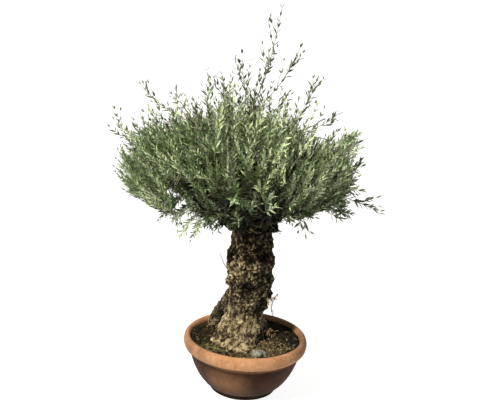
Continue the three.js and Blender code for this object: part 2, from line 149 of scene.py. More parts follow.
def new_growth_tree(name: str, inputs: dict[str, str]) -> tuple[Tree, Callable, dict]:
    """Start a Geometry Nodes tree with named inputs.

    Args:
        name: The tree's name.
        inputs: The type of each named input.

    Returns:
        The tree, the function that adds its nodes and the sockets that give its inputs.
    """
    tree = bpy.data.node_groups.new(name, "GeometryNodeTree")
    for label, kind in {"Geometry": "Geometry", **inputs}.items():
        tree.interface.new_socket(label, in_out="INPUT", socket_type=f"NodeSocket{kind}")
    tree.interface.new_socket("Geometry", in_out="OUTPUT", socket_type="NodeSocketGeometry")
    return tree, partial(add_node, tree), add_node(tree, "NodeGroupInput").outputs


def end_growth_tree(tree: Tree, grown: Node, *finishes: tuple, is_smooth: bool = True) -> Tree:
    """End a Geometry Nodes tree: what has grown becomes a real mesh and is dressed.

    Args:
        tree: The tree.
        grown: The node that gives what has grown.
        *finishes: Each material, with the faces that take it.
        is_smooth: True if light runs smoothly over the faces.

    Returns:
        The tree.
    """
    grown = add_node(tree, "GeometryNodeRealizeInstances", grown)
    if is_smooth:
        grown = add_node(tree, "GeometryNodeSetShadeSmooth", grown, Shade_Smooth=True)
    for material, faces in finishes:
        grown = add_node(tree, "GeometryNodeSetMaterial", grown, faces, material)
    add_node(tree, "NodeGroupOutput", grown)
    return tree


def linked(name: str, data: bpy.types.ID) -> Object:
    """Make an object and link it to the scene.

    Args:
        name: The object's name.
        data: Its mesh, lamp or camera.

    Returns:
        The object.
    """
    made = bpy.data.objects.new(name, data)
    bpy.context.scene.collection.objects.link(made)
    return made


def mesh_object(
    name: str,
    points: Array,
    faces: list | Array = (),
    edges: list | Array = (),
    **attributes: Array,
) -> Object:
    """Make an object from points in millimetres.

    Args:
        name: The object's name.
        points: Its corners.
        faces: Corner numbers of each face.
        edges: Corner numbers of each loose edge.
        **attributes: Numbers or vectors to keep with each corner.

    Returns:
        The object.
    """
    mesh = bpy.data.meshes.new(name)
    mesh.from_pydata(np.asarray(points) * MM, list(edges), list(faces))
    for label, values in attributes.items():
        kind, slot = ("FLOAT_VECTOR", "vector") if values.ndim == 2 else ("FLOAT", "value")
        layer = mesh.attributes.new(label, kind, "POINT")
        layer.data.foreach_set(slot, values.astype(np.float32).ravel())
    mesh.update()
    return linked(name, mesh)


def bake(made: Object, tree: Tree, **inputs: object) -> Object:
    """Run an object's modifiers and then a growth tree, and keep the result as its plain mesh.

    Args:
        made: The object to work on.
        tree: The Geometry Nodes tree.
        **inputs: The tree's named inputs, with an underscore for a space.

    Returns:
        The same object, with no modifier left.
    """
    modifier = made.modifiers.new(tree.name, "NODES")
    modifier.node_group = tree
    for item in tree.interface.items_tree:
        label = item.name.replace(" ", "_")
        if item.item_type == "SOCKET" and item.in_out == "INPUT" and label in inputs:
            modifier[item.identifier] = inputs[label]
    bpy.context.view_layer.update()
    depsgraph = bpy.context.evaluated_depsgraph_get()
    result = bpy.data.meshes.new_from_object(
        made.evaluated_get(depsgraph), preserve_all_data_layers=True, depsgraph=depsgraph
    )
    made.modifiers.clear()
    rough = made.data
    made.data = result
    bpy.data.meshes.remove(rough)
    result.name = made.name
    return made


def unit(vectors: Array) -> Array:
    """Bring vectors to length one."""
    return vectors / np.maximum(np.linalg.norm(vectors, axis=-1, keepdims=True), 1e-9)


def across_from(heading: Array) -> Array:
    """Find a unit vector square to a heading."""
    aside = UP if abs(heading[2]) < 0.9 else np.array((1.0, 0.0, 0.0))
    return unit(np.cross(heading, aside))


def turned(vector: Array, axis: Array, angle: float) -> Array:
    """Turn a vector round a unit axis by an angle in radians."""
    along = axis * float(axis @ vector)
    return vector * math.cos(angle) + np.cross(axis, vector) * math.sin(angle) + along * (1 - math.cos(angle))


def even_heading(index: int, count: int) -> Array:
    """Spread headings evenly over a ball.

    Args:
        index: The number of the heading.
        count: How many there are.

    Returns:
        The heading with that number.
    """
    height = 1 - (2 * index + 1) / count
    turn = index * GOLDEN_TURN
    across = math.sqrt(1 - height * height)
    return np.array((across * math.cos(turn), across * math.sin(turn), height))


def eased(rows: tuple, places: Array, column: int) -> Array:
    """Read a table of places and values, eased between its rows.

    Args:
        rows: The table, with the place first in each row.
        places: Where to read it.
        column: Which value to read.

    Returns:
        The value at each place.
    """
    table = np.array(rows, dtype=float)
    low = np.clip(np.searchsorted(table[:, 0], places) - 1, 0, len(table) - 2)
    share = np.clip((places - table[low, 0]) / (table[low + 1, 0] - table[low, 0]), 0, 1)
    share = share * share * (3 - 2 * share)
    return table[low, column] + (table[low + 1, column] - table[low, column]) * share


def bezier(start: Array, bend: Array, end: Array, steps: int) -> Array:
    """Give points along a curve from start to end that leans towards bend."""
    share = np.linspace(0, 1, steps + 1)[:, None]
    return (1 - share) ** 2 * start + 2 * share * (1 - share) * bend + share**2 * end


def smooth_path(points: Array, steps: int) -> Array:
    """Give points along a Catmull-Rom curve.

    Args:
        points: The points to pass through.
        steps: How many pieces each stretch is cut into.

    Returns:
        The points of the curve.
    """
    padded = np.vstack((2 * points[0] - points[1], points, 2 * points[-1] - points[-2]))
    share = np.linspace(0, 1, steps, endpoint=False)[:, None]
    stretches = []
    for before, low, high, after in zip(padded, padded[1:], padded[2:], padded[3:]):
        square = 2 * before - 5 * low + 4 * high - after
        cube = 3 * low - before - 3 * high + after
        stretches.append(low + 0.5 * (share * (high - before) + share**2 * square + share**3 * cube))
    return np.vstack((*stretches, points[-1:]))


def tube(points: Array, radii: Array, sides: int) -> Skin:
    """Lay a closed tube along a path.

    Args:
        points: The path.
        radii: The tube's radius at each point.
        sides: The number of its sides.

    Returns:
        The tube's corners and faces.
    """
    ways = unit(np.gradient(points, axis=0))
    side = across_from(ways[0])
    turns = np.linspace(0, 2 * math.pi, sides, endpoint=False)
    rings = []
    for point, way, radius in zip(points, ways, radii):
        side = unit(side - way * float(side @ way))
        over = np.cross(way, side)
        rings.append(point + radius * (np.outer(np.cos(turns), side) + np.outer(np.sin(turns), over)))
    return lofted(np.array(rings))


def lofted(rings: Array, is_closed: bool = True) -> Skin:
    """Join rings of points into a skin.

    Args:
        rings: Rings of equally many points, each counter-clockwise as seen from the last ring.
        is_closed: True for a flat cap at each end.

    Returns:
        The corners and faces.
    """
    count, sides = rings.shape[:2]
    low = np.arange(count - 1)[:, None] * sides
    this = np.arange(sides)[None, :]
    following = (this + 1) % sides
    quads = np.stack((low + this, low + following, low + sides + following, low + sides + this), axis=-1)
    faces = [tuple(quad) for quad in quads.reshape(-1, 4).tolist()]
    if is_closed:
        faces.append(tuple(range(sides - 1, -1, -1)))
        faces.append(tuple(range((count - 1) * sides, count * sides)))
    return rings.reshape(-1, 3), faces


def turned_rings(profile: Array, sides: int) -> Array:
    """Turn a profile round the upright axis.

    Args:
        profile: Radius and height of each point.
        sides: The number of points in each ring.

    Returns:
        A ring of points for each point of the profile.
    """
    turns = np.linspace(0, 2 * math.pi, sides, endpoint=False)
    spokes = np.column_stack((np.cos(turns), np.sin(turns)))
    flat = profile[:, None, :1] * spokes[None]
    heights = np.broadcast_to(profile[:, None, 1:], (len(profile), sides, 1))
    return np.concatenate((flat, heights), axis=2)


def joined(parts: list[Skin]) -> Skin:
    """Put the corners and faces of several skins into one.

    Args:
        parts: The skins.

    Returns:
        All corners and all faces.
    """
    corners, faces, start = [], [], 0
    for points, polygons in parts:
        corners.append(points)
        faces.extend(tuple(corner + start for corner in polygon) for polygon in polygons)
        start += len(points)
    return np.vstack(corners), faces


def lump(name: str, detail: int, roughness: float, seed: int) -> Object:
    """Make an uneven ball of radius one, for stones and crumbs.

    Args:
        name: The object's name.
        detail: How often its faces are cut in four, plus one.
        roughness: How far its corners stand in and out.
        seed: The seed of its shape.

    Returns:
        The lump.
    """
    wave_count, wave_length = 5, 1.6
    ball = bmesh.new()
    bmesh.ops.create_icosphere(ball, subdivisions=detail, radius=1.0)
    waves = np.random.default_rng(seed).normal(size=(wave_count, 3)) * wave_length
    for corner in ball.verts:
        swell = sum(math.sin(float(wave @ np.array(corner.co)) + i) for i, wave in enumerate(waves))
        corner.co *= 1 + roughness * swell / 2
    mesh = bpy.data.meshes.new(name)
    ball.to_mesh(mesh)
    ball.free()
    return linked(name, mesh)


def seeded_stream(seed: int) -> Callable[[], float]:
    """Give the source's repeatable stream of numbers from 0 to 1.

    Args:
        seed: Where the stream starts.

    Returns:
        A function that gives the next number.
    """
    whole = 0xFFFFFFFF
    state = [seed & whole]

    def following() -> float:
        """Give the next number.

        Returns:
            A number from 0 to 1.
        """
        state[0] = (state[0] + 0x6D2B79F5) & whole
        mixed = ((state[0] ^ (state[0] >> 15)) * (state[0] | 1)) & whole
        mixed ^= (mixed + (((mixed ^ (mixed >> 7)) * (mixed | 61)) & whole)) & whole
        return ((mixed ^ (mixed >> 14)) & whole) / (whole + 1)

    return following


def place_piece(made: Object, slot: str, *nodes: str) -> None:
    """Put a finished piece on the object's one body.

    Args:
        made: The piece.
        slot: A material slot's name; not used.
        *nodes: The CAD nodes that it stands for.
    """
    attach(made, "root")
    if nodes:
        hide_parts(*nodes)
    triangles = sum(len(polygon.vertices) - 2 for polygon in made.data.polygons)
    LOG.info("%s: %d triangles", made.name, triangles)


# Finishes

# Where litter lies thickest on the soil
FRONT_LITTER = (45.0, -195.0, SOIL_LEVEL)
FRONT_REACH = 265.0
# The share of a patch's reach within which it is at its fullest
PATCH_CORE = 0.25


def per_metre(size: float) -> float:
    """Give the scale of a pattern from the size of its marks."""
    return 1 / (size * MM)


def near(node: Callable, where: object, place: Point, reach: float) -> Node:
    """Add the nodes that give 1 at a place and 0 beyond its reach.

    Args:
        node: The function that adds nodes.
        where: What gives the coordinates.
        place: The middle of the patch.
        reach: Its radius.

    Returns:
        The last node.
    """
    spot = tuple(value * MM for value in place)
    away = node("ShaderNodeVectorMath", where, spot, operation="DISTANCE")
    return node("ShaderNodeMapRange", away, PATCH_CORE * reach * MM, reach * MM, 1.0, 0.0)


@dataclass(frozen=True)
class MouldedTerracotta:
    """Moulded plastic in the colour of terracotta: even and matt, dusty, scuffed pale and scratched dark;
    grime and painted shade on the rim's sides, a painted shadow of the rim with damp and dirt on the belly, a
    painted sunlit patch low on the left, and darker towards the foot.
    """

    body: str = "#a3734f"
    warm: str = "#ba8e6b"
    scuff: str = "#dcc0a2"
    stain: str = "#452a1c"
    # Dark colours for the belly's painted rim shadow with damp and dirt, and for grime and painted shade on
    # the rim's sides
    damp: str = "#2b160c"
    grime: str = "#5f4a3b"
    mottle_size: float = 70.0
    mottle_levels: Span = (0.32, 0.72)
    scuff_size: float = 24.0
    scuff_levels: Span = (0.55, 0.75)
    scuff_share: float = 0.5
    streak_width: float = 9.0
    streak_drawing: Point = (1.0, 1.0, 0.09)
    streak_levels: Span = (0.54, 0.7)
    streak_shares: Span = (0.35, 0.9)
    worn_place: Point = (330.0, -120.0, 290.0)
    worn_reach: float = 330.0
    # Where the rim takes grime and painted shade: place, reach and share of the darkening
    grimy: tuple = (((-270.0, -185.0, 300.0), 290.0, 0.62), ((330.0, 20.0, 300.0), 290.0, 0.85))
    grime_levels: Span = (0.3, 0.6)
    grime_thinning: float = 0.7
    # The belly's painted rim shadow with damp and dirt, mottled, and the painted sunlit patch low on the left
    damp_size: float = 150.0
    damp_levels: Span = (0.38, 0.66)
    damp_shade: Span = (0.0, 0.07)
    damp_heights: Span = (250.0, 215.0)
    dry_place: Point = (-80.0, -262.0, 115.0)
    dry_reach: float = 150.0
    dry_gain: float = 0.34
    foot_height: float = 130.0
    foot_shade: float = 0.4
    grain_size: float = 3.0
    grain_height: float = 0.4
    grain_strength: float = 0.25
    rough_levels: Span = (0.3, 0.7)
    roughness: Span = (0.62, 0.85)
    specular: float = 0.1

    def material(self) -> Material:
        """Build the material.

        Returns:
            The material.
        """
        material, skin, node = new_material("moulded_terracotta_plastic")
        where = node("ShaderNodeTexCoord").outputs["Object"]
        mottle = node("ShaderNodeTexNoise", where, per_metre(self.mottle_size), Detail=4.0, Roughness=0.6)
        colour = node("ShaderNodeValToRGB", mottle, stops=zip(self.mottle_levels, (self.body, self.warm)))
        scuffs = node("ShaderNodeTexNoise", where, per_metre(self.scuff_size), Detail=6.0, Roughness=0.72)
        scuffed = node("ShaderNodeMapRange", scuffs, *self.scuff_levels, 0.0, self.scuff_share)
        colour = node("ShaderNodeMix", scuffed, colour, linear(self.scuff), data_type="RGBA")
        # Streaks run down the wall, so the pattern is drawn out along its height
        drawn = node("ShaderNodeMapping", where, Scale=self.streak_drawing)
        streaks = node("ShaderNodeTexNoise", drawn, per_metre(self.streak_width), Detail=3.0, Roughness=0.6)
        worn = near(node, where, self.worn_place, self.worn_reach)
        most = node("ShaderNodeMapRange", worn, 0.0, 1.0, *self.streak_shares)
        streaked = node("ShaderNodeMapRange", streaks, *self.streak_levels, 0.0, most)
        colour = node("ShaderNodeMix", streaked, colour, linear(self.stain), data_type="RGBA")
        # Grime and painted shade darken the rim's sides, the right side most, away from the light
        for place, reach, share in self.grimy:
            patch = near(node, where, place, reach)
            thin = self.grime_thinning * share
            uneven = node("ShaderNodeMapRange", mottle, *self.grime_levels, share, thin)
            covered = node("ShaderNodeMath", patch, uneven, operation="MULTIPLY")
            colour = node("ShaderNodeMix", covered, colour, linear(self.grime), data_type="RGBA")
        # A painted shadow of the rim, with damp and dirt, darkens the belly below the rim, mottled; a painted
        # sunlit patch lightens it low on the left
        height = node("ShaderNodeSeparateXYZ", where).outputs["Z"]
        cloud = node("ShaderNodeTexNoise", where, per_metre(self.damp_size), Detail=3.0, Roughness=0.55)
        mottled = node("ShaderNodeMapRange", cloud, *self.damp_levels, *self.damp_shade)
        # The painted sunlit patch low on the belly's left, below the rim's painted shadow
        dry = near(node, where, self.dry_place, self.dry_reach)
        shade = node("ShaderNodeMath", dry, self.dry_gain, mottled, operation="MULTIPLY_ADD")
        below = node("ShaderNodeMapRange", height, *[value * MM for value in self.damp_heights], 1.0, shade)
        colour = node("ShaderNodeMix", below, linear(self.damp), colour, data_type="RGBA")
        # Darker towards the foot
        darker_low = node("ShaderNodeMapRange", height, 0.0, self.foot_height * MM, self.foot_shade, 1.0)
        colour = node("ShaderNodeVectorMath", colour, darker_low, operation="SCALE")
        grain = node("ShaderNodeTexNoise", where, per_metre(self.grain_size), Detail=3.0)
        bump = node("ShaderNodeBump", self.grain_strength, self.grain_height * MM, Height=grain)
        rough = node("ShaderNodeMapRange", scuffs, *self.rough_levels, *self.roughness)
        feed(skin, {"Base Color": colour, "Normal": bump})
        feed(skin, {"Roughness": rough, "Specular IOR Level": self.specular})
        return material


@dataclass(frozen=True)
class PottingSoil:
    """Moist potting soil: dark crumbs with pale specks, greener with moss at the front left."""

    deep: str = "#0d0a07"
    crumb: str = "#221b14"
    litter: str = "#8b7b57"
    moss: str = "#7b7850"
    crumb_size: float = 9.0
    crumb_levels: Span = (0.35, 0.7)
    crumb_height: float = 4.0
    crumb_strength: float = 0.8
    speck_size: float = 5.0
    speck_edge: Span = (0.2, 0.32)
    moss_place: Point = (-175.0, -175.0, SOIL_LEVEL)
    moss_reach: float = 85.0
    front_place: Point = (55.0, -175.0, SOIL_LEVEL)
    front_reach: float = 230.0
    front_gain: float = 0.75
    litter_share: float = 0.05
    roughness: float = 0.95
    specular: float = 0.1

    def material(self) -> Material:
        """Build the material.

        Returns:
            The material.
        """
        material, skin, node = new_material("potting_soil")
        where = node("ShaderNodeTexCoord").outputs["Object"]
        crumbs = node("ShaderNodeTexNoise", where, per_metre(self.crumb_size), Detail=5.0, Roughness=0.7)
        colour = node("ShaderNodeValToRGB", crumbs, stops=zip(self.crumb_levels, (self.deep, self.crumb)))
        specks = node("ShaderNodeTexVoronoi", where, per_metre(self.speck_size), Randomness=1.0)
        speck = node("ShaderNodeMapRange", specks, *self.speck_edge, 1.0, 0.0)
        front = near(node, where, self.front_place, self.front_reach)
        strewn = node("ShaderNodeMath", front, self.front_gain, self.litter_share, operation="MULTIPLY_ADD")
        broad = node("ShaderNodeMath", crumbs, speck, operation="MAXIMUM")
        share = node("ShaderNodeMath", broad, strewn, operation="MULTIPLY")
        colour = node("ShaderNodeMix", share, colour, linear(self.litter), data_type="RGBA")
        mossy = near(node, where, self.moss_place, self.moss_reach)
        tufts = node("ShaderNodeMath", mossy, crumbs, operation="MULTIPLY")
        colour = node("ShaderNodeMix", tufts, colour, linear(self.moss), data_type="RGBA")
        bump = node("ShaderNodeBump", self.crumb_strength, self.crumb_height * MM, Height=crumbs)
        feed(skin, {"Base Color": colour, "Normal": bump})
        feed(skin, {"Roughness": self.roughness, "Specular IOR Level": self.specular})
        return material


@dataclass(frozen=True)
class OldOliveBark:
    """Old olive bark: ochre on lumps, partly painted light, and dark in crevices, painted shade; pale on the
    root mass and grey on the side root; painted shade under the crown, on the side away from the light and in
    hollows and creases, and painted light on sunlit lumps.
    """

    name: str = "old_olive_bark"
    old: tuple[str, ...] = ("#201a13", "#3c3325", "#695c42", "#a29270", "#dccda6")
    dry: tuple[str, ...] = ("#271f16", "#463b2b", "#71644a", "#948567", "#b4a583")
    root: tuple[str, ...] = ("#17140e", "#2b261c", "#423b2d", "#5a5240", "#746b57")
    levels: tuple[float, ...] = (0.3, 0.41, 0.5, 0.58, 0.7)
    dry_place: Point = (-5.0, -190.0, 340.0)
    dry_reach: float = 230.0
    root_place: Point = (-160.0, 75.0, 430.0)
    root_reach: float = 220.0
    # Heights over which the head takes painted shade under the crown, and the way across over which the far
    # side, away from the light, takes painted shade
    head: Span = (825.0, 910.0)
    head_shade: float = 0.5
    far: Span = (-5.0, 72.0)
    far_shade: float = 0.42
    # Painted shade in hollows and creases and on shaded sides, and painted light on sunlit lumps: place,
    # reach and gain of the colour
    spots: tuple = (
        ((-15.0, -130.0, 630.0), 95.0, 0.12),
        ((-105.0, -105.0, 490.0), 95.0, 0.3),
        ((75.0, -100.0, 540.0), 110.0, 0.75),
        ((-50.0, -120.0, 820.0), 115.0, 1.6),
        ((-85.0, -115.0, 738.0), 85.0, 0.5),
        ((30.0, -120.0, 700.0), 70.0, 1.2),
        ((80.0, -100.0, 790.0), 110.0, 0.7),
        ((-105.0, -175.0, 360.0), 130.0, 0.65),
        ((-10.0, -115.0, 562.0), 125.0, 0.42),
    )
    grain_size: float = 9.0
    grain_share: float = 0.3
    grain_height: float = 3.0
    grain_strength: float = 0.8
    blotch_size: float = 75.0
    blotch_share: float = 0.9
    roughness: float = 0.95
    specular: float = 0.15

    def material(self) -> Material:
        """Build the material; it reads the relief that the bark's growth tree leaves on the mesh.

        Returns:
            The material.
        """
        material, skin, node = new_material(self.name)
        where = node("ShaderNodeTexCoord").outputs["Object"]
        relief = node("ShaderNodeAttribute", attribute_name="relief", attribute_type="GEOMETRY")
        grain, blotches = (
            node("ShaderNodeTexNoise", where, per_metre(size), Detail=5.0, Roughness=0.65)
            for size in (self.grain_size, self.blotch_size)
        )
        # The relief is low in crevices and high on lumps, so the ramps darken the crevices, painted shade,
        # and lighten the lumps, partly the bark's own paler tone and partly painted light
        level = relief.outputs["Fac"]
        for noise, share in ((grain, self.grain_share), (blotches, self.blotch_share)):
            stirred = node("ShaderNodeMath", noise, share, -share / 2, operation="MULTIPLY_ADD")
            level = node("ShaderNodeMath", level, stirred, operation="ADD")
        colour, dry, root = (
            node("ShaderNodeValToRGB", level, stops=zip(self.levels, tones))
            for tones in (self.old, self.dry, self.root)
        )
        patches = ((self.dry_place, self.dry_reach, dry), (self.root_place, self.root_reach, root))
        for place, reach, tone in patches:
            colour = node("ShaderNodeMix", near(node, where, place, reach), colour, tone, data_type="RGBA")
        # Painted shade on the head under the crown, on the far side away from the light and at the darkening
        # spots; painted light at the lightening spots
        spot = node("ShaderNodeSeparateXYZ", where).outputs
        shades = (("Z", self.head, self.head_shade), ("X", self.far, self.far_shade))
        gains = [
            node("ShaderNodeMapRange", spot[axis], start * MM, end * MM, 1.0, shade)
            for axis, (start, end), shade in shades
        ]
        gains += [
            node("ShaderNodeMapRange", near(node, where, place, reach), 0.0, 1.0, 1.0, gain)
            for place, reach, gain in self.spots
        ]
        for gain in gains:
            colour = node("ShaderNodeVectorMath", colour, gain, operation="SCALE")
        bump = node("ShaderNodeBump", self.grain_strength, self.grain_height * MM, Height=grain)
        feed(skin, {"Base Color": colour, "Normal": bump})
        feed(skin, {"Roughness": self.roughness, "Specular IOR Level": self.specular})
        return material


@dataclass(frozen=True)
class FreckledFinish:
    """A smooth, dull and finely freckled finish: young bark, dead twigs and the grey stone."""

    name: str
    pale: str
    dark: str
    freckle_size: float = 9.0
    levels: Span = (0.35, 0.65)
    roughness: float = 0.8

    def material(self) -> Material:
        """Build the material.

        Returns:
            The material.
        """
        material, skin, node = new_material(self.name)
        where = node("ShaderNodeTexCoord").outputs["Object"]
        freckles = node("ShaderNodeTexNoise", where, per_metre(self.freckle_size), Detail=3.0)
        tone = node("ShaderNodeValToRGB", freckles, stops=zip(self.levels, (self.dark, self.pale)))
        feed(skin, {"Base Color": tone, "Roughness": self.roughness})
        return material


@dataclass(frozen=True)
class StrewnPieces:
    """Loose pieces on the soil, each in a tone of its own between three colours."""

    name: str
    tones: tuple[str, str, str]
    levels: Point = (0.05, 0.5, 0.95)
    roughness: float = 0.9
    specular: float = 0.1

    def material(self) -> Material:
        """Build the material; it reads the tone that the strewing tree gives each piece.

        Returns:
            The material.
        """
        material, skin, node = new_material(self.name)
        tone = node("ShaderNodeAttribute", attribute_name="tone", attribute_type="GEOMETRY")
        colour = node("ShaderNodeValToRGB", tone.outputs["Fac"], stops=zip(self.levels, self.tones))
        feed(skin, {"Base Color": colour, "Roughness": self.roughness, "Specular IOR Level": self.specular})
        return material


class LeafTint(Enum):
    """The tints that the sprays are dealt: a name, the leathery upper face and the felted under face."""

    GREY = ("grey_green", "#93a77c", "#bdc7ae")
    DEEP = ("deep_green", "#536a3d", "#8f9c7a")
    LIGHT = ("light_green", "#acbd91", "#cad3b8")
    YOUNG = ("young_green", "#9fb17d", "#b7c29b")
    SLATE = ("slate_green", "#4f5b42", "#737d67")
    # Painted shade: the tint of sprays in the crown's hollow and deep inside it
    SHADE = ("shaded_green", "#10160b", "#1b2213")
    DRY = ("dry_ochre", "#8c6f42", "#a1865a")

    def material(self, is_under: bool) -> Material:
        """Build the plain finish of one face: waxed and smooth above, felted beneath.

        Args:
            is_under: True for the under face.

        Returns:
            The material.
        """
        name, upper, under = self.value
        side, colour, roughness = ("felt", under, 0.8) if is_under else ("wax", upper, 0.55)
        material, skin, _ = new_material(f"olive_leaf_{name}_{side}")
        feed(skin, {"Base Color": linear(colour), "Roughness": roughness})
        return material


# Growth trees


def limb_tree() -> Tree:
    """Build the tree that turns paths with a radius at each point into round limbs.

    Returns:
        The tree.
    """
    tree, node, given = new_growth_tree("limbs", {"Sides": "Int", "Bark": "Material"})
    paths = node("GeometryNodeMeshToCurve", given["Geometry"])
    ring = node("GeometryNodeCurvePrimitiveCircle", given["Sides"], Radius=1.0)
    radius = node("GeometryNodeInputNamedAttribute", "radius", data_type="FLOAT")
    limbs = node("GeometryNodeCurveToMesh", paths, ring, radius, Fill_Caps=True)
    return end_growth_tree(tree, limbs, (given["Bark"], True))


def leaf_tree() -> Tree:
    """Build the tree that sets a leaf on each point by its heading, facing and size.

    Returns:
        The tree.
    """
    kinds = {"Leaf": "Object", "Upper Face": "Material", "Under Face": "Material"}
    tree, node, given = new_growth_tree("leaves", kinds)
    along, facing, size = (
        node("GeometryNodeInputNamedAttribute", name, data_type="FLOAT_VECTOR")
        for name in ("along", "facing", "size")
    )
    aimed = node("FunctionNodeAlignRotationToVector", Vector=along, axis="Y")
    rolled = node("FunctionNodeAlignRotationToVector", aimed, Vector=facing, axis="Z", pivot_axis="Y")
    blade = node("GeometryNodeObjectInfo", given["Leaf"]).outputs["Geometry"]
    posture = {"Rotation": rolled, "Scale": size}
    leaves = node("GeometryNodeInstanceOnPoints", given["Geometry"], Instance=blade, **posture)
    is_under = node("GeometryNodeInputNamedAttribute", "under", data_type="BOOLEAN")
    finishes = ((given["Upper Face"], True), (given["Under Face"], is_under))
    return end_growth_tree(tree, leaves, *finishes, is_smooth=False)


@dataclass(frozen=True)
class BarkRelief:
    """The knobs, fibrous ridges and grain that a growth tree raises out of a smooth stem."""

    knob_size: float
    knob_height: float
    fibre_width: float
    fibre_height: float
    grain_size: float
    grain_height: float
    fibre_below: float
    knob_above: float

    def inputs(self) -> dict[str, float]:
        """Give the tree's inputs by name."""
        return {label.title(): value * MM for label, value in vars(self).items()}

    def raise_on(self, made: Object, finish: OldOliveBark) -> Object:
        """Raise the relief on a stem and dress it."""
        return bake(made, self.tree(), Bark=finish.material(), **self.inputs())

    def tree(self) -> Tree:
        """Build the tree: knobs high up, fibres low down and grain all over.

        Returns:
            The tree.
        """
        sway_size, sway, fibre_drawing = 50.0, 0.1, 0.3
        knob_edge, fibre_levels, grain_in_tone = (0.75, 0.05), (0.3, 0.7), 0.55
        kinds = {label.replace("_", " "): "Float" for label in self.inputs()}
        tree, node, given = new_growth_tree("bark_relief", {**kinds, "Bark": "Material"})
        place = node("GeometryNodeInputPosition")
        stir = node("ShaderNodeTexNoise", place, per_metre(sway_size), Detail=3.0).outputs["Color"]
        swayed = node("ShaderNodeVectorMath", stir, (sway, sway, sway), place, operation="MULTIPLY_ADD")
        knob_scale, fibre_scale, grain_scale = (
            node("ShaderNodeMath", 1.0, given[size], operation="DIVIDE")
            for size in ("Knob Size", "Fibre Width", "Grain Size")
        )
        cells = node("ShaderNodeTexVoronoi", swayed, knob_scale, Smoothness=0.25, feature="SMOOTH_F1")
        knobs = node("ShaderNodeMapRange", cells, *knob_edge, 0.0, 1.0)
        # Fibres run up the stem, so their pattern is drawn out along its height
        drawn = node("ShaderNodeVectorMath", swayed, (1.0, 1.0, fibre_drawing), operation="MULTIPLY")
        strands = node("ShaderNodeTexNoise", drawn, fibre_scale, Detail=4.0, Roughness=0.6)
        fibres = node("ShaderNodeMapRange", strands, *fibre_levels, 0.0, 1.0)
        height = node("ShaderNodeSeparateXYZ", place).outputs["Z"]
        turnover = (given["Fibre Below"], given["Knob Above"])
        above = node("ShaderNodeMapRange", height, *turnover, 0.0, 1.0, interpolation_type="SMOOTHSTEP")
        pattern = node("ShaderNodeMix", above, fibres, knobs)
        depth = node("ShaderNodeMix", above, given["Fibre Height"], given["Knob Height"])
        grain = node("ShaderNodeTexNoise", place, grain_scale, Detail=5.0, Roughness=0.7)
        raised = 0.0
        for layer, most in ((pattern, depth), (grain, given["Grain Height"])):
            centred = node("ShaderNodeMath", layer, 0.5, operation="SUBTRACT")
            raised = node("ShaderNodeMath", centred, most, raised, operation="MULTIPLY_ADD")
        tone = node("ShaderNodeMix", grain_in_tone, pattern, grain)
        offset = node("ShaderNodeVectorMath", node("GeometryNodeInputNormal"), raised, operation="SCALE")
        kept = (given["Geometry"], True, "relief", tone)
        noted = node("GeometryNodeStoreNamedAttribute", *kept, data_type="FLOAT", domain="POINT")
        moved = node("GeometryNodeSetPosition", noted, Offset=offset)
        return end_growth_tree(tree, moved, (given["Bark"], True))


def soil_tree() -> Tree:
    """Build the tree that crumbles the soil's flat top, less and less towards the bowl's wall.

    Returns:
        The tree.
    """
    grades = ("Clod", "Crumb")
    kinds = {f"{grade} {size}": "Float" for grade in grades for size in ("Size", "Height")}
    tree, node, given = new_growth_tree("soil_relief", {**kinds, "Earth": "Material"})
    place = node("GeometryNodeInputPosition")
    total = 0.0
    for grade in grades:
        fineness = node("ShaderNodeMath", 1.0, given[f"{grade} Size"], operation="DIVIDE")
        lumps = node("ShaderNodeTexNoise", place, fineness, Detail=3.0)
        total = node("ShaderNodeMath", lumps, given[f"{grade} Height"], total, operation="MULTIPLY_ADD")
    loose = node("GeometryNodeInputNamedAttribute", "loose", data_type="FLOAT")
    lift = node("ShaderNodeMath", total, loose, operation="MULTIPLY")
    moved = node("GeometryNodeSetPosition", given["Geometry"], Offset=node("ShaderNodeCombineXYZ", Z=lift))
    return end_growth_tree(tree, moved, (given["Earth"], True))


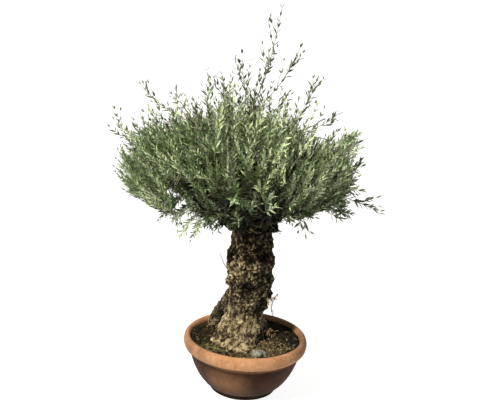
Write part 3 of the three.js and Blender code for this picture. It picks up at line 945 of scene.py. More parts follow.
def strewing_tree() -> Tree:
    """Build the tree that strews one kind of loose piece over the soil's top, denser at the front.

    Returns:
        The tree.
    """
    level_from, size_draw, tone_draw = 0.4, 17.0, 31.0
    kinds = {"Piece": "Object", "Back Density": "Float", "Front Density": "Float", "Tumble": "Float"}
    kinds |= {"Smallest": "Vector", "Largest": "Vector", "Seed": "Int", "Finish": "Material"}
    tree, node, given = new_growth_tree("strewn_pieces", kinds)
    seed, tumble = given["Seed"], given["Tumble"]
    upright = node("ShaderNodeSeparateXYZ", node("GeometryNodeInputNormal")).outputs["Z"]
    on_top = node("FunctionNodeCompare", upright, level_from, data_type="FLOAT", operation="GREATER_THAN")
    front = near(node, node("GeometryNodeInputPosition"), FRONT_LITTER, FRONT_REACH)
    density = node("ShaderNodeMapRange", front, 0.0, 1.0, given["Back Density"], given["Front Density"])
    points = node("GeometryNodeDistributePointsOnFaces", given["Geometry"], on_top, density, seed)
    back = node("ShaderNodeMath", tumble, -1.0, operation="MULTIPLY")
    least = node("ShaderNodeCombineXYZ", back, back, -math.pi)
    most = node("ShaderNodeCombineXYZ", tumble, tumble, math.pi)
    turn = node("FunctionNodeRandomValue", least, most, Seed=seed, data_type="FLOAT_VECTOR")
    size_seed, tone_seed = (
        node("ShaderNodeMath", seed, draw, operation="ADD") for draw in (size_draw, tone_draw)
    )
    ends = (given["Smallest"], given["Largest"])
    size = node("FunctionNodeRandomValue", *ends, Seed=size_seed, data_type="FLOAT_VECTOR")
    shape = node("GeometryNodeObjectInfo", given["Piece"]).outputs["Geometry"]
    rotation = node("FunctionNodeEulerToRotation", turn)
    pieces = node("GeometryNodeInstanceOnPoints", points, Instance=shape, Rotation=rotation, Scale=size)
    tone = node("FunctionNodeRandomValue", Seed=tone_seed, data_type="FLOAT")
    kept = {"data_type": "FLOAT", "domain": "INSTANCE"}
    toned = node("GeometryNodeStoreNamedAttribute", pieces, True, "tone", tone, **kept)
    return end_growth_tree(tree, toned, (given["Finish"], True), is_smooth=False)


# Bowl and soil


@dataclass
class Bowl:
    """The round bowl with its foot ring, full belly and rolled rim."""

    rim_radius: float = 350.0
    height: float = 312.0
    rim_width: float = 41.0
    rim_height: float = 73.0
    rim_start: float = -0.3 * math.pi
    neck_radius: float = 318.0
    neck_drop: float = 0.8
    foot_radius: float = 192.0
    foot_height: float = 25.0
    foot_chamfer: float = 5.0
    foot_rounding: float = 0.3
    wall: float = 9.0
    fullness: float = 1.53
    sides: int = 144
    belly_steps: int = 34
    belly_crowding: float = 1.4
    rim_steps: int = 34
    middle: float = 0.5
    sharp_angle: float = 40.0

    @property
    def neck_height(self) -> float:
        """Height at which the wall meets the rim."""
        return self.height - self.neck_drop * self.rim_height

    def belly_radius(self, height: Array) -> Array:
        """Radius of the outside at heights between foot and rim.

        Args:
            height: The heights.

        Returns:
            The radius at each.
        """
        share = np.clip((height - self.foot_height) / (self.neck_height - self.foot_height), 0, 1)
        swell = (1 - (1 - share) ** self.fullness) ** (1 / self.fullness)
        return self.foot_radius + (self.neck_radius - self.foot_radius) * swell

    def belly_heights(self, low: float, high: float) -> Array:
        """Heights of the wall's rings, closer together low down where the wall bends most."""
        return low + (high - low) * np.linspace(0, 1, self.belly_steps) ** self.belly_crowding

    def inside(self, inset: float) -> Array:
        """Give the profile up the inside.

        Args:
            inset: How far it keeps from the wall.

        Returns:
            Radius and height from the floor's middle to the wall under the rim.
        """
        raised = self.wall / 2
        floor = self.foot_height + raised
        heights = self.belly_heights(floor, self.neck_height + raised)
        radii = self.belly_radius(heights - raised) - self.wall - inset
        wall = np.column_stack((radii, np.maximum(heights, floor + inset)))
        return np.vstack(((self.middle, floor + inset), wall))

    def profile(self) -> Array:
        """Give the whole profile, from the underside's middle round the rim to the floor's middle.

        Returns:
            Radius and height of each point.
        """
        rounding = self.foot_rounding * self.foot_chamfer
        low = np.array(
            (
                (self.middle, 0.0),
                (self.foot_radius - self.foot_chamfer, 0.0),
                (self.foot_radius - rounding, rounding),
                (self.foot_radius, self.foot_chamfer),
            )
        )
        heights = self.belly_heights(self.foot_height, self.neck_height)
        belly = np.column_stack((self.belly_radius(heights), heights))
        angles = np.linspace(self.rim_start, math.pi, self.rim_steps)
        radii = self.rim_radius - self.rim_width / 2 * (1 - np.cos(angles))
        rim = np.column_stack((radii, self.height - self.rim_height / 2 * (1 - np.sin(angles))))
        return np.vstack((low, belly, rim, self.inside(0)[::-1]))

    def build(self) -> None:
        """Turn the bowl and dress it."""
        made = mesh_object("bowl_shell", *lofted(turned_rings(self.profile(), self.sides)))
        made.data.shade_smooth()
        made.data.set_sharp_from_angle(angle=math.radians(self.sharp_angle))
        made.data.materials.append(MouldedTerracotta().material())
        place_piece(made, "bowl", "bowl")


@dataclass
class Soil:
    """The soil in the bowl, heaped a little round the trunk, with what lies on it."""

    gap: float = 0.3
    sunk: float = 6.0
    heap: float = 14.0
    heap_reach: float = 190.0
    firm_edge: float = 12.0
    clod_size: float = 45.0
    clod_height: float = 12.0
    crumb_size: float = 11.0
    crumb_height: float = 9.0
    sides: int = 150
    rings: int = 58
    stone_place: Point = (72.0, -240.0, 295.0)
    stone_size: Point = (42.0, 30.0, 27.0)

    def build(self, bowl: Bowl) -> Object:
        """Make the soil's body and its crumbled top.

        Args:
            bowl: The bowl that it fills.

        Returns:
            The soil.
        """
        edge = bowl.rim_radius - bowl.rim_width - self.gap
        radii = np.linspace(edge, 1.0, self.rings)
        heap = self.heap * np.exp(-((radii / self.heap_reach) ** 2)) - self.sunk
        top = np.column_stack((radii, SOIL_LEVEL + heap))
        below = bowl.inside(self.gap)
        points, faces = lofted(turned_rings(np.vstack((below, top)), self.sides))
        loose = np.clip((edge - np.hypot(points[:, 0], points[:, 1])) / self.firm_edge, 0, 1)
        loose[: len(below) * self.sides] = 0
        made = mesh_object("soil_bed", points, faces, loose=loose)
        clods = {"Clod_Size": self.clod_size * MM, "Clod_Height": self.clod_height * MM}
        crumbs = {"Crumb_Size": self.crumb_size * MM, "Crumb_Height": self.crumb_height * MM}
        bake(made, soil_tree(), Earth=PottingSoil().material(), **clods, **crumbs)
        place_piece(made, "soil", "soil")
        return made

    def strew(self, bed: Object, leaf: Object) -> None:
        """Strew pebbles, crumbs, dry leaves and chips over the soil.

        Args:
            bed: The soil.
            leaf: The shape of a leaf.
        """
        tree = strewing_tree()
        pebble = lump("pebble_shape", detail=2, roughness=0.18, seed=5)
        crumb = lump("crumb_shape", detail=1, roughness=0.25, seed=9)
        pebbles = StrewnPieces("river_pebble", ("#332e26", "#5e5546", "#8d826b"))
        crumbs = StrewnPieces("soil_crumb", ("#0d0a07", "#1e1812", "#403524"))
        chips = StrewnPieces("bark_chip", ("#3c2e1c", "#66563a", "#92805b"))
        leaves = StrewnPieces("dry_olive_leaf", ("#46371a", "#6f603b", "#9a8a62"))
        # Name, shape, finish, how many to a square metre at the back and the front, least and largest size,
        # how far they tumble and seed
        kinds = (
            ("soil_pebbles", pebble, pebbles, 200.0, 900.0, (4, 4, 3), (9, 8, 6), 0.5, 3),
            ("soil_crumbs", crumb, crumbs, 4200.0, 3600.0, (3, 3, 2), (9, 8, 6), 1.5, 4),
            ("soil_chips", crumb, chips, 500.0, 5200.0, (1.5, 4, 1.2), (3, 13, 2), 0.5, 5),
            ("soil_dry_leaves", leaf, leaves, 350.0, 1900.0, (24, 24, 26), (36, 40, 38), 0.4, 6),
        )
        for name, shape, finish, back, front, least, most, tumble, seed in kinds:
            sizes = {"Smallest": [value * MM for value in least], "Largest": [value * MM for value in most]}
            spread = {"Back_Density": back, "Front_Density": front, "Tumble": tumble, "Seed": seed}
            made = linked(name, bed.data.copy())
            bake(made, tree, Piece=shape, Finish=finish.material(), **sizes, **spread)
            place_piece(made, "soil")
        for shape in (pebble, crumb):
            bpy.data.objects.remove(shape)

    def lay_stone(self) -> None:
        """Lay the grey stone at the front."""
        made = lump("soil_stone", detail=4, roughness=0.36, seed=21)
        corners = np.array([corner.co for corner in made.data.vertices])
        placed = (corners * np.array(self.stone_size) + np.array(self.stone_place)) * MM
        made.data.vertices.foreach_set("co", placed.ravel())
        made.data.update()
        made.data.shade_smooth()
        finish = FreckledFinish("grey_river_stone", "#918d82", "#57534a", freckle_size=12.0)
        made.data.materials.append(finish.material())
        place_piece(made, "soil")


# Trunk


@dataclass
class Trunk:
    """The old pollarded stem with its slanting root, its flares and the stubs of two sawn-off limbs."""

    sunk: float = 24.0
    fork_height: float = 990.0
    dome_height: float = 70.0
    dome_closing: float = 0.97
    # Height, radius and shift to the right
    girth: tuple = (
        (SOIL_LEVEL, 118.0, -14.0),
        (440.0, 103.0, -5.0),
        (505.0, 103.0, 3.0),
        (565.0, 117.0, 21.0),
        (620.0, 127.0, 14.0),
        (680.0, 121.0, 8.0),
        (762.0, 140.0, 5.0),
        (820.0, 117.0, 5.0),
        (900.0, 105.0, 4.0),
        (990.0, 108.0, 2.0),
    )
    flute_count: int = 5
    flute_depth: float = 5.0
    flute_twist: float = 0.006
    ridge_count: int = 9
    ridge_depth: float = 7.0
    ridge_rise: float = 110.0
    burl_count: int = 120
    burl_rise: Span = (5.0, 17.0)
    burl_spread: Span = (16.0, 38.0)
    burl_settling: float = 9.0
    # Azimuth, height, width and depth
    hollow: tuple[float, float, float, float] = (262.0, 608.0, 34.0, 36.0)
    # Azimuth, spread and reach upwards
    flares: tuple = ((272.0, 92.0, 88.0), (226.0, 70.0, 80.0), (178.0, 62.0, 95.0), (60.0, 42.0, 60.0))
    flare_sharpness: int = 5
    buttress: tuple[Point, ...] = (
        (-20.0, 5.0, 640.0),
        (-92.0, 40.0, 520.0),
        (-158.0, 100.0, 392.0),
        (-196.0, 150.0, 262.0),
    )
    buttress_radii: tuple = ((0.0, 46.0), (0.5, 38.0), (1.0, 41.0))
    buttress_steps: int = 12
    buttress_sides: int = 40
    # Azimuth, height, rise, reach and radius
    stubs: tuple = ((184.0, 902.0, 34.0, 134.0, 22.0), (352.0, 915.0, 30.0, 142.0, 27.0))
    stub_end: Point = (1.12, 1.08, 0.82)
    stub_steps: int = 14
    stub_sides: int = 24
    relief: BarkRelief = BarkRelief(
        knob_size=20.0,
        knob_height=12.0,
        fibre_width=17.0,
        fibre_height=15.0,
        grain_size=21.0,
        grain_height=18.0,
        fibre_below=380.0,
        knob_above=560.0,
    )
    seed: int = 11
    sides: int = 200
    steps: int = 150
    voxel: float = 4.1

    def burls(self) -> Array:
        """Scatter the knobs by the source's seed.

        Returns:
            Azimuth, height, rise and spread of each.
        """
        following = seeded_stream(self.seed)
        span = self.fork_height - self.dome_height - SOIL_LEVEL
        rows = []
        for _ in range(self.burl_count):
            azimuth = following() * 2 * math.pi
            height = SOIL_LEVEL + following() * span
            spans = (self.burl_rise, self.burl_spread)
            rise, spread = (low + (high - low) * following() for low, high in spans)
            rows.append((azimuth, height, rise, spread))
        return np.array(rows)

    def along_bark(self, azimuth: Array, height: Array, azimuth_to: float, height_to: float) -> Array:
        """Distance round and up the stem to another place on it."""
        turn = np.arctan2(np.sin(azimuth - azimuth_to), np.cos(azimuth - azimuth_to))
        return np.hypot(turn * self.girth[0][1], height - height_to)

    def radius(self, azimuth: Array, height: Array) -> Array:
        """Radius of the stem at places round and up it.

        Args:
            azimuth: Angle round the stem, in radians.
            height: Height above the bowl's underside.

        Returns:
            The radius at each place.
        """
        rise = height - SOIL_LEVEL
        radius = eased(self.girth, height, 1) - self.burl_settling
        for middle, spread, reach in self.flares:
            lobe = np.maximum(0, np.cos(azimuth - math.radians(middle))) ** self.flare_sharpness
            radius = radius + spread * lobe * np.exp(-np.maximum(rise, 0) / reach)
        radius = radius + self.flute_depth * np.cos(self.flute_count * (azimuth + self.flute_twist * rise))
        ridge = np.cos(self.ridge_count * (azimuth - self.flute_twist * rise))
        radius = radius + self.ridge_depth * ridge * np.exp(-np.maximum(rise, 0) / self.ridge_rise)
        for burl_azimuth, burl_height, burl_rise, spread in self.burls():
            away = self.along_bark(azimuth, height, burl_azimuth, burl_height)
            radius = radius + burl_rise * np.exp(-((away / spread) ** 2))
        middle, level, width, depth = self.hollow
        away = self.along_bark(azimuth, height, math.radians(middle), level)
        return radius - depth * np.exp(-((away / width) ** 2))

    def surface(self, azimuth: float, height: float) -> Array:
        """Find a place on the stem's bark.

        Args:
            azimuth: Angle round the stem, in degrees.
            height: Height above the bowl's underside.

        Returns:
            The place.
        """
        turn, level = np.array([math.radians(azimuth)]), np.array([height])
        radius = self.radius(turn, level)
        shift = eased(self.girth, level, 2)
        return np.concatenate((shift + radius * np.cos(turn), radius * np.sin(turn), level))

    def stem(self) -> Skin:
        """Give the stem's skin, from below the soil to the dome of its head.

        Returns:
            Its corners and faces.
        """
        heights = np.linspace(SOIL_LEVEL - self.sunk, self.fork_height, self.steps)
        turns = np.linspace(0, 2 * math.pi, self.sides, endpoint=False)
        shoulder = self.fork_height - self.dome_height
        up_dome = np.clip((heights - shoulder) / self.dome_height, 0, 1)
        dome = np.sqrt(1 - self.dome_closing * up_dome**2)
        azimuth, height = np.meshgrid(turns, np.minimum(heights, shoulder))
        radius = self.radius(azimuth, height) * dome[:, None]
        shift = eased(self.girth, heights, 2)[:, None]
        level = np.broadcast_to(heights[:, None], radius.shape)
        return lofted(np.stack((shift + radius * np.cos(azimuth), radius * np.sin(azimuth), level), axis=2))

    def side_root(self) -> Skin:
        """Give the skin of the slanting root on the left."""
        path = smooth_path(np.array(self.buttress), self.buttress_steps)
        return tube(path, eased(self.buttress_radii, np.linspace(0, 1, len(path)), 1), self.buttress_sides)

    def sawn_stubs(self) -> list[Skin]:
        """Give the skins of the stubs of sawn-off limbs, each with a worn edge.

        Returns:
            The corners and faces of each stub.
        """
        stubs = []
        for azimuth, height, rise, reach, radius in self.stubs:
            turn = math.radians(azimuth)
            end = np.array((reach * math.cos(turn), reach * math.sin(turn), height + rise))
            path = np.linspace((0.0, 0.0, height), end, self.stub_steps)
            radii = np.full(len(path), radius)
            radii[-len(self.stub_end) :] = radius * np.array(self.stub_end)
            stubs.append(tube(path, radii, self.stub_sides))
        return stubs

    def build(self, boughs: Boughs) -> None:
        """Join the stem with its roots, stubs and bough collars and raise its bark.

        Args:
            boughs: The boughs that stand on its head.
        """
        skin = joined([self.stem(), self.side_root(), *self.sawn_stubs(), *boughs.collars()])
        made = mesh_object("trunk_stem", *skin)
        remesh = made.modifiers.new("one_skin", "REMESH")
        remesh.mode = "VOXEL"
        remesh.voxel_size = self.voxel * MM
        self.relief.raise_on(made, OldOliveBark())
        place_piece(made, "bark", "trunk")


# Crown


@dataclass(frozen=True)
class Tier:
    """One level of leafy masses, with the boughs that carry them."""

    name: str
    sides: tuple[str, ...]
    distance: float
    height: float
    stagger: float
    seat_distance: float
    seat_height: float
    elbow_share: float
    elbow_rise: float
    radii: Span


LOWER_SIDES = ("right", "back_right", "back", "back_left", "left", "front_left", "front", "front_right")
UPPER_SIDES = ("right", "back_right", "back_left", "left", "front")
TIERS = (
    Tier("lower", LOWER_SIDES, 400.0, 1200.0, 30.0, 46.0, 918.0, 0.52, 0.34, (24.0, 11.0)),
    Tier("upper", UPPER_SIDES, 240.0, 1450.0, 18.0, 24.0, 948.0, 0.5, 0.4, (19.0, 9.0)),
    Tier("top", ("middle",), 50.0, 1550.0, 0.0, 0.0, 950.0, 0.3, 0.5, (19.0, 9.0)),
)


@dataclass
class Mass:
    """One leafy mass: its heart, the seat of its bough and the seed of its growth."""

    name: str
    tier: Tier
    heart: Array
    seat: Array
    seed: int


@dataclass
class CrownShape:
    """The crown's outline: a barrel between a low cone on top and a skirt that rises outwards."""

    middle: Point = (-100.0, 0.0, 1250.0)
    radius: float = 640.0
    span: float = 620.0
    peak: float = 1720.0
    peak_fall: float = 0.33
    skirt: float = 920.0
    skirt_from: float = 270.0
    skirt_rise: float = 0.5
    front_rise: float = 0.5
    front_width: float = 230.0
    thinning: float = 98.0
    dip: float = 55.0
    dip_place: float = 320.0
    dip_width: float = 100.0
    root: Point = (-30.0, 0.0, 760.0)
    light_lift: float = 0.35
    # How far out, and in what steps, the edge is looked for
    search: Span = (900.0, 6.0)
    masses: list[Mass] = field(default_factory=list)

    def __post_init__(self) -> None:
        """Lay out the masses by their tiers."""
        for tier in TIERS:
            for i, side in enumerate(tier.sides):
                turn = 2 * math.pi * i / len(tier.sides)
                outward = np.array((math.cos(turn), math.sin(turn), 0.0))
                heart = np.array(self.middle) + outward * tier.distance
                heart[2] = tier.height + (tier.stagger if i % 2 else -tier.stagger)
                seat = outward * tier.seat_distance + UP * tier.seat_height
                seed = 100 * len(self.masses) + 7
                self.masses.append(Mass(f"{tier.name}_{side}", tier, heart, seat, seed))

    def depth(self, points: Array) -> Array:
        """How far points lie inside the outline, below zero outside it.

        Args:
            points: The points.

        Returns:
            The distance to the nearest of the outline's surfaces.
        """
        away = points - np.array(self.middle)
        across = np.hypot(away[..., 0], away[..., 1])
        barrel = self.radius * (1 - np.hypot(across / self.radius, away[..., 2] / self.span))
        rise = self.skirt_rise * np.maximum(0, across - self.skirt_from)
        front = np.maximum(0, -points[..., 1]) * np.exp(-((points[..., 0] / self.front_width) ** 2))
        skirt = points[..., 2] - self.skirt - rise - self.front_rise * front
        return np.minimum(np.minimum(barrel, self.top_depth(points)), skirt)

    def top_depth(self, points: Array) -> Array:
        """How far points lie below the crown's low cone."""
        away = points - np.array(self.middle)
        return self.peak - self.peak_fall * np.hypot(away[..., 0], away[..., 1]) - points[..., 2]

    def dense_depth(self, points: Array) -> Array:
        """How far points lie inside the dense part of the crown, below its open upper edge."""
        dip = self.dip * np.exp(-(((points[..., 0] - self.dip_place) / self.dip_width) ** 2))
        return self.depth(points + (self.thinning + dip)[..., None] * UP)

    def depth_in_cell(self, points: Array, mass: Mass) -> Array:
        """How far points lie inside a mass's own cell.

        Args:
            points: The points.
            mass: The mass.

        Returns:
            The distance to the nearest wall shared with another mass.
        """
        own = ((points - mass.heart) ** 2).sum(-1)
        walls = [
            (((points - other.heart) ** 2).sum(-1) - own) / (2 * np.linalg.norm(mass.heart - other.heart))
            for other in self.masses
            if other is not mass
        ]
        return np.min(walls, axis=0)

    def edge_distance(self, mass: Mass, heading: Array) -> float:
        """Distance from a mass's heart along a heading to the edge of its space.

        Args:
            mass: The mass.
            heading: The way to go.

        Returns:
            The distance.
        """
        steps = np.arange(0, *self.search)
        points = mass.heart + steps[:, None] * heading
        beyond = (self.depth(points) < 0) | (self.depth_in_cell(points, mass) < 0)
        return float(steps[np.argmax(beyond)]) if beyond.any() else float(steps[-1])

    def light_at(self, point: Array) -> Array:
        """The way that a shoot leans for light: out from the crown's root and up."""
        return unit(unit(point - np.array(self.root)) + self.light_lift * UP)

    def nearest(self, point: Array) -> Mass:
        """The mass in whose cell a point lies."""
        return min(self.masses, key=lambda mass: float(np.linalg.norm(mass.heart - point)))


@dataclass
class Boughs:
    """The boughs that lead from the trunk's head to the hearts of the masses."""

    crown: CrownShape
    taper: float = 0.8
    steps: int = 40
    sides: int = 14
    collar_share: float = 0.4
    collar_swell: Span = (1.25, 0.8)
    relief: BarkRelief = BarkRelief(
        knob_size=26.0,
        knob_height=3.0,
        fibre_width=9.0,
        fibre_height=3.0,
        grain_size=10.0,
        grain_height=5.0,
        fibre_below=1000.0,
        knob_above=900.0,
    )
    # The boughs take painted shade low down, under the crown, and none on the far side
    bark: OldOliveBark = OldOliveBark(
        name="bough_bark",
        old=("#17130e", "#2f281e", "#4a4131", "#6b604b", "#8d8068"),
        head=(1250.0, 1000.0),
        head_shade=0.4,
        far_shade=1.0,
    )

    def path(self, mass: Mass) -> Array:
        """Lead a bough from the trunk's head round its elbow.

        Args:
            mass: The mass that it carries.

        Returns:
            The points of its path to the mass's heart.
        """
        bend = mass.seat + (mass.heart - mass.seat) * mass.tier.elbow_share
        bend[2] = mass.seat[2] + (mass.heart[2] - mass.seat[2]) * mass.tier.elbow_rise
        return bezier(mass.seat, bend, mass.heart, self.steps)

    def radii(self, mass: Mass) -> Array:
        """Give the radius at each point of a bough."""
        root, tip = mass.tier.radii
        return root + (tip - root) * np.linspace(0, 1, self.steps + 1) ** self.taper

    def collars(self) -> list[Skin]:
        """The swollen roots of the boughs, which the trunk's skin takes in.

        Returns:
            The corners and faces of each.
        """
        count = int(self.steps * self.collar_share)
        swell = np.linspace(*self.collar_swell, count)
        return [
            tube(self.path(mass)[:count], self.radii(mass)[:count] * swell, self.sides)
            for mass in self.crown.masses
        ]

    def build(self) -> None:
        """Make the boughs with their bark."""
        skins = [tube(self.path(mass), self.radii(mass), self.sides) for mass in self.crown.masses]
        made = self.relief.raise_on(mesh_object("boughs", *joined(skins)), self.bark)
        place_piece(made, "branch", *[f"bough_{mass.name}" for mass in self.crown.masses])


@dataclass(frozen=True)
class Habit:
    """How a shoot grows: it leans to the light and strays a little, with leaves from part of the way on."""

    radius: float
    tip: float
    steps: int
    lift: float
    stray: float
    leafy_from: float = 1.0
    pitch: float = 14.0
    leaf_length: float = 39.0
    opening: Span = (46.0, 20.0)


TWIG = Habit(4.4, 1.6, 6, 0.08, 0.22)
SPRAY = Habit(1.4, 0.8, 4, 0.12, 0.2, 0.06, 13.0, 36.0, (36.0, 16.0))
SIDE_SHOOT = Habit(1.5, 0.9, 3, 0.2, 0.2, 0.25, 26.0, 44.0)
FRINGE_SHOOT = Habit(2.0, 1.0, 7, 0.08, 0.14, 0.1, 24.0, 46.0, (46.0, 28.0))
LONG_SHOOT = Habit(2.4, 1.2, 9, 0.0, 0.0, 0.36, 30.0, 50.0, (46.0, 28.0))
TUFT = Habit(1.8, 1.0, 3, 0.05, 0.2, 0.1, 12.5, 46.0, (52.0, 24.0))


@dataclass
class LeafBlade:
    """A lance-shaped olive leaf of length one, folded a little along its rib and curved back at its tip."""

    half_width: float = 0.125
    widest: float = 0.42
    edge_rise: float = 0.012
    rib_rise: float = 0.034
    tip_drop: float = -0.06

    def build(self) -> Object:
        """Make the leaf's shape, with its under faces marked.

        Returns:
            The leaf.
        """
        left = (-self.half_width, self.widest, self.edge_rise)
        right = (self.half_width, self.widest, self.edge_rise)
        points = [(0.0, 0.0, 0.0), left, right, (0.0, self.widest, self.rib_rise), (0.0, 1.0, self.tip_drop)]
        upper = [(0, 2, 3), (0, 3, 1), (3, 2, 4), (1, 3, 4)]
        under = [(0, 1, 2), (1, 4, 2)]
        made = mesh_object("leaf_shape", np.array(points) / MM, upper + under)
        marks = made.data.attributes.new("under", "BOOLEAN", "FACE")
        marks.data.foreach_set("value", [i >= len(upper) for i in range(len(upper + under))])
        return made


@dataclass
class Growth:
    """What has grown so far: paths of limbs by kind, and leaves by tint."""

    leaf: Object
    limb_maker: Tree
    leaf_maker: Tree
    paths: dict[str, list[tuple[Array, Array]]] = field(default_factory=dict)
    leaves: dict[LeafTint, list[Array]] = field(default_factory=dict)
    most_leaves: int = 28000

    def add_path(self, kind: str, points: Array, start: float, end: float) -> None:
        """Note a limb of a kind by its path and its radius at both ends."""
        self.paths.setdefault(kind, []).append((points, np.linspace(start, end, len(points))))

    def add_leaves(self, tint: LeafTint, *columns: Array) -> None:
        """Note leaves by their roots, headings, facings and sizes."""
        self.leaves.setdefault(tint, []).append(np.hstack(columns))

    def place_limbs(self, kind: str, sides: int, finish: FreckledFinish, *nodes: str) -> None:
        """Make one piece of all the limbs of a kind.

        Args:
            kind: Which limbs; the piece takes this name.
            sides: The number of sides of each.
            finish: Their bark.
            *nodes: The CAD nodes that they stand for.
        """
        points = np.vstack([path for path, _ in self.paths[kind]])
        radii = np.concatenate([radius for _, radius in self.paths[kind]]) * MM
        edges, start = [], 0
        for path, _ in self.paths[kind]:
            edges.extend((start + i, start + i + 1) for i in range(len(path) - 1))
            start += len(path)
        made = mesh_object(kind, points, edges=edges, radius=radii)
        place_piece(bake(made, self.limb_maker, Sides=sides, Bark=finish.material()), "branch", *nodes)

    def place_leaves(self, *nodes: str) -> None:
        """Make the leaves of each tint, from left to right in as many pieces as they need.

        Args:
            *nodes: The CAD nodes that they stand for.
        """
        for tint, batches in self.leaves.items():
            rows = np.vstack(batches)
            finish = {"Upper_Face": tint.material(False), "Under_Face": tint.material(True)}
            parts = np.array_split(rows[np.argsort(rows[:, 0])], math.ceil(len(rows) / self.most_leaves))
            for number, part in enumerate(parts, 1):
                places, along, facing, size = np.split(part, 4, axis=1)
                name = f"leaves_{tint.value[0]}_{number}"
                made = mesh_object(name, places, along=along, facing=facing, size=size * MM)
                place_piece(bake(made, self.leaf_maker, Leaf=self.leaf, **finish), "foliage", *nodes)


@dataclass(frozen=True)
class LeafDealing:
    """How tints are dealt to sprays, by how deep in the crown and how well lit each spray is: painted shade
    inside, painted light outside.
    """

    # Sprays near the crown's outside, and towards its front and top, take lighter tints: painted light
    outer_depth: float = 120.0
    # Sprays in the hollow under the crown and deep inside it take the shaded tint, painted shade
    hollow_place: Point = (-60.0, -90.0, 960.0)
    hollow_reach: Point = (370.0, 550.0, 260.0)
    hollow_edge: Span = (0.75, 0.4)
    shade_depth: Span = (150.0, 100.0)
    slate_from: float = 0.6
    young: Span = (0.012, 0.012)
    # Below the first height a spray takes little painted light, and that much above it full painted light
    fresh_height: Span = (1080.0, 260.0)
    fresh_least: float = 0.35
    fresh_slant: float = 0.5
    light: Point = (0.06, 0.05, 0.24)
    grey: Point = (0.34, 0.12, 0.36)
    # Painted shade: darker tints on the left, tempering the lamp's light there
    left_deepening: float = 0.2

    def tint_at(self, shape: CrownShape, fringe: float, point: Array, rng: Rng) -> LeafTint:
        """Deal a tint to a spray: shaded or deeper inside the crown and in its hollow, painted shade; lighter
        on its lit outside, front and top, painted light; deeper on the left, painted shade; slate in the open
        fringe.

        Args:
            shape: The crown's outline.
            fringe: How far above the dense crown the open fringe starts.
            point: The spray's tip.
            rng: The stream of random numbers.

        Returns:
            The tint.
        """
        depth = shape.depth(point)
        outer = 1 - np.clip(depth / self.outer_depth, 0, 1)
        luck = rng.random()
        # Painted shade: the shaded tint in the crown's hollow and deep inside it
        hidden = np.linalg.norm((point - np.array(self.hollow_place)) / np.array(self.hollow_reach))
        edge, deep = (least + more * luck for least, more in (self.hollow_edge, self.shade_depth))
        if hidden < edge or depth > deep:
            return LeafTint.SHADE
        if shape.dense_depth(point) < -fringe and luck > self.slate_from:
            return LeafTint.SLATE
        if luck < self.young[0] + self.young[1] * outer:
            return LeafTint.YOUNG
        # Painted light: lighter tints on the lit outside, towards the front and the top
        low, rise = self.fresh_height
        lit_share = np.clip((self.fresh_slant * point[0] - point[1]) / shape.radius, 0, 1)
        lit_share *= np.clip((point[2] - low) / rise, self.fresh_least, 1)
        light, grey = (least + (more + most * lit_share) * outer for least, more, most in (self.light, self.grey))
        if luck < light:
            return LeafTint.LIGHT
        # Painted shade on the left, tempering the lamp's light there
        left_shaded = self.left_deepening * np.clip(-point[0] / shape.radius, 0, 1)
        return LeafTint.DEEP if luck > grey - left_shaded else LeafTint.GREY


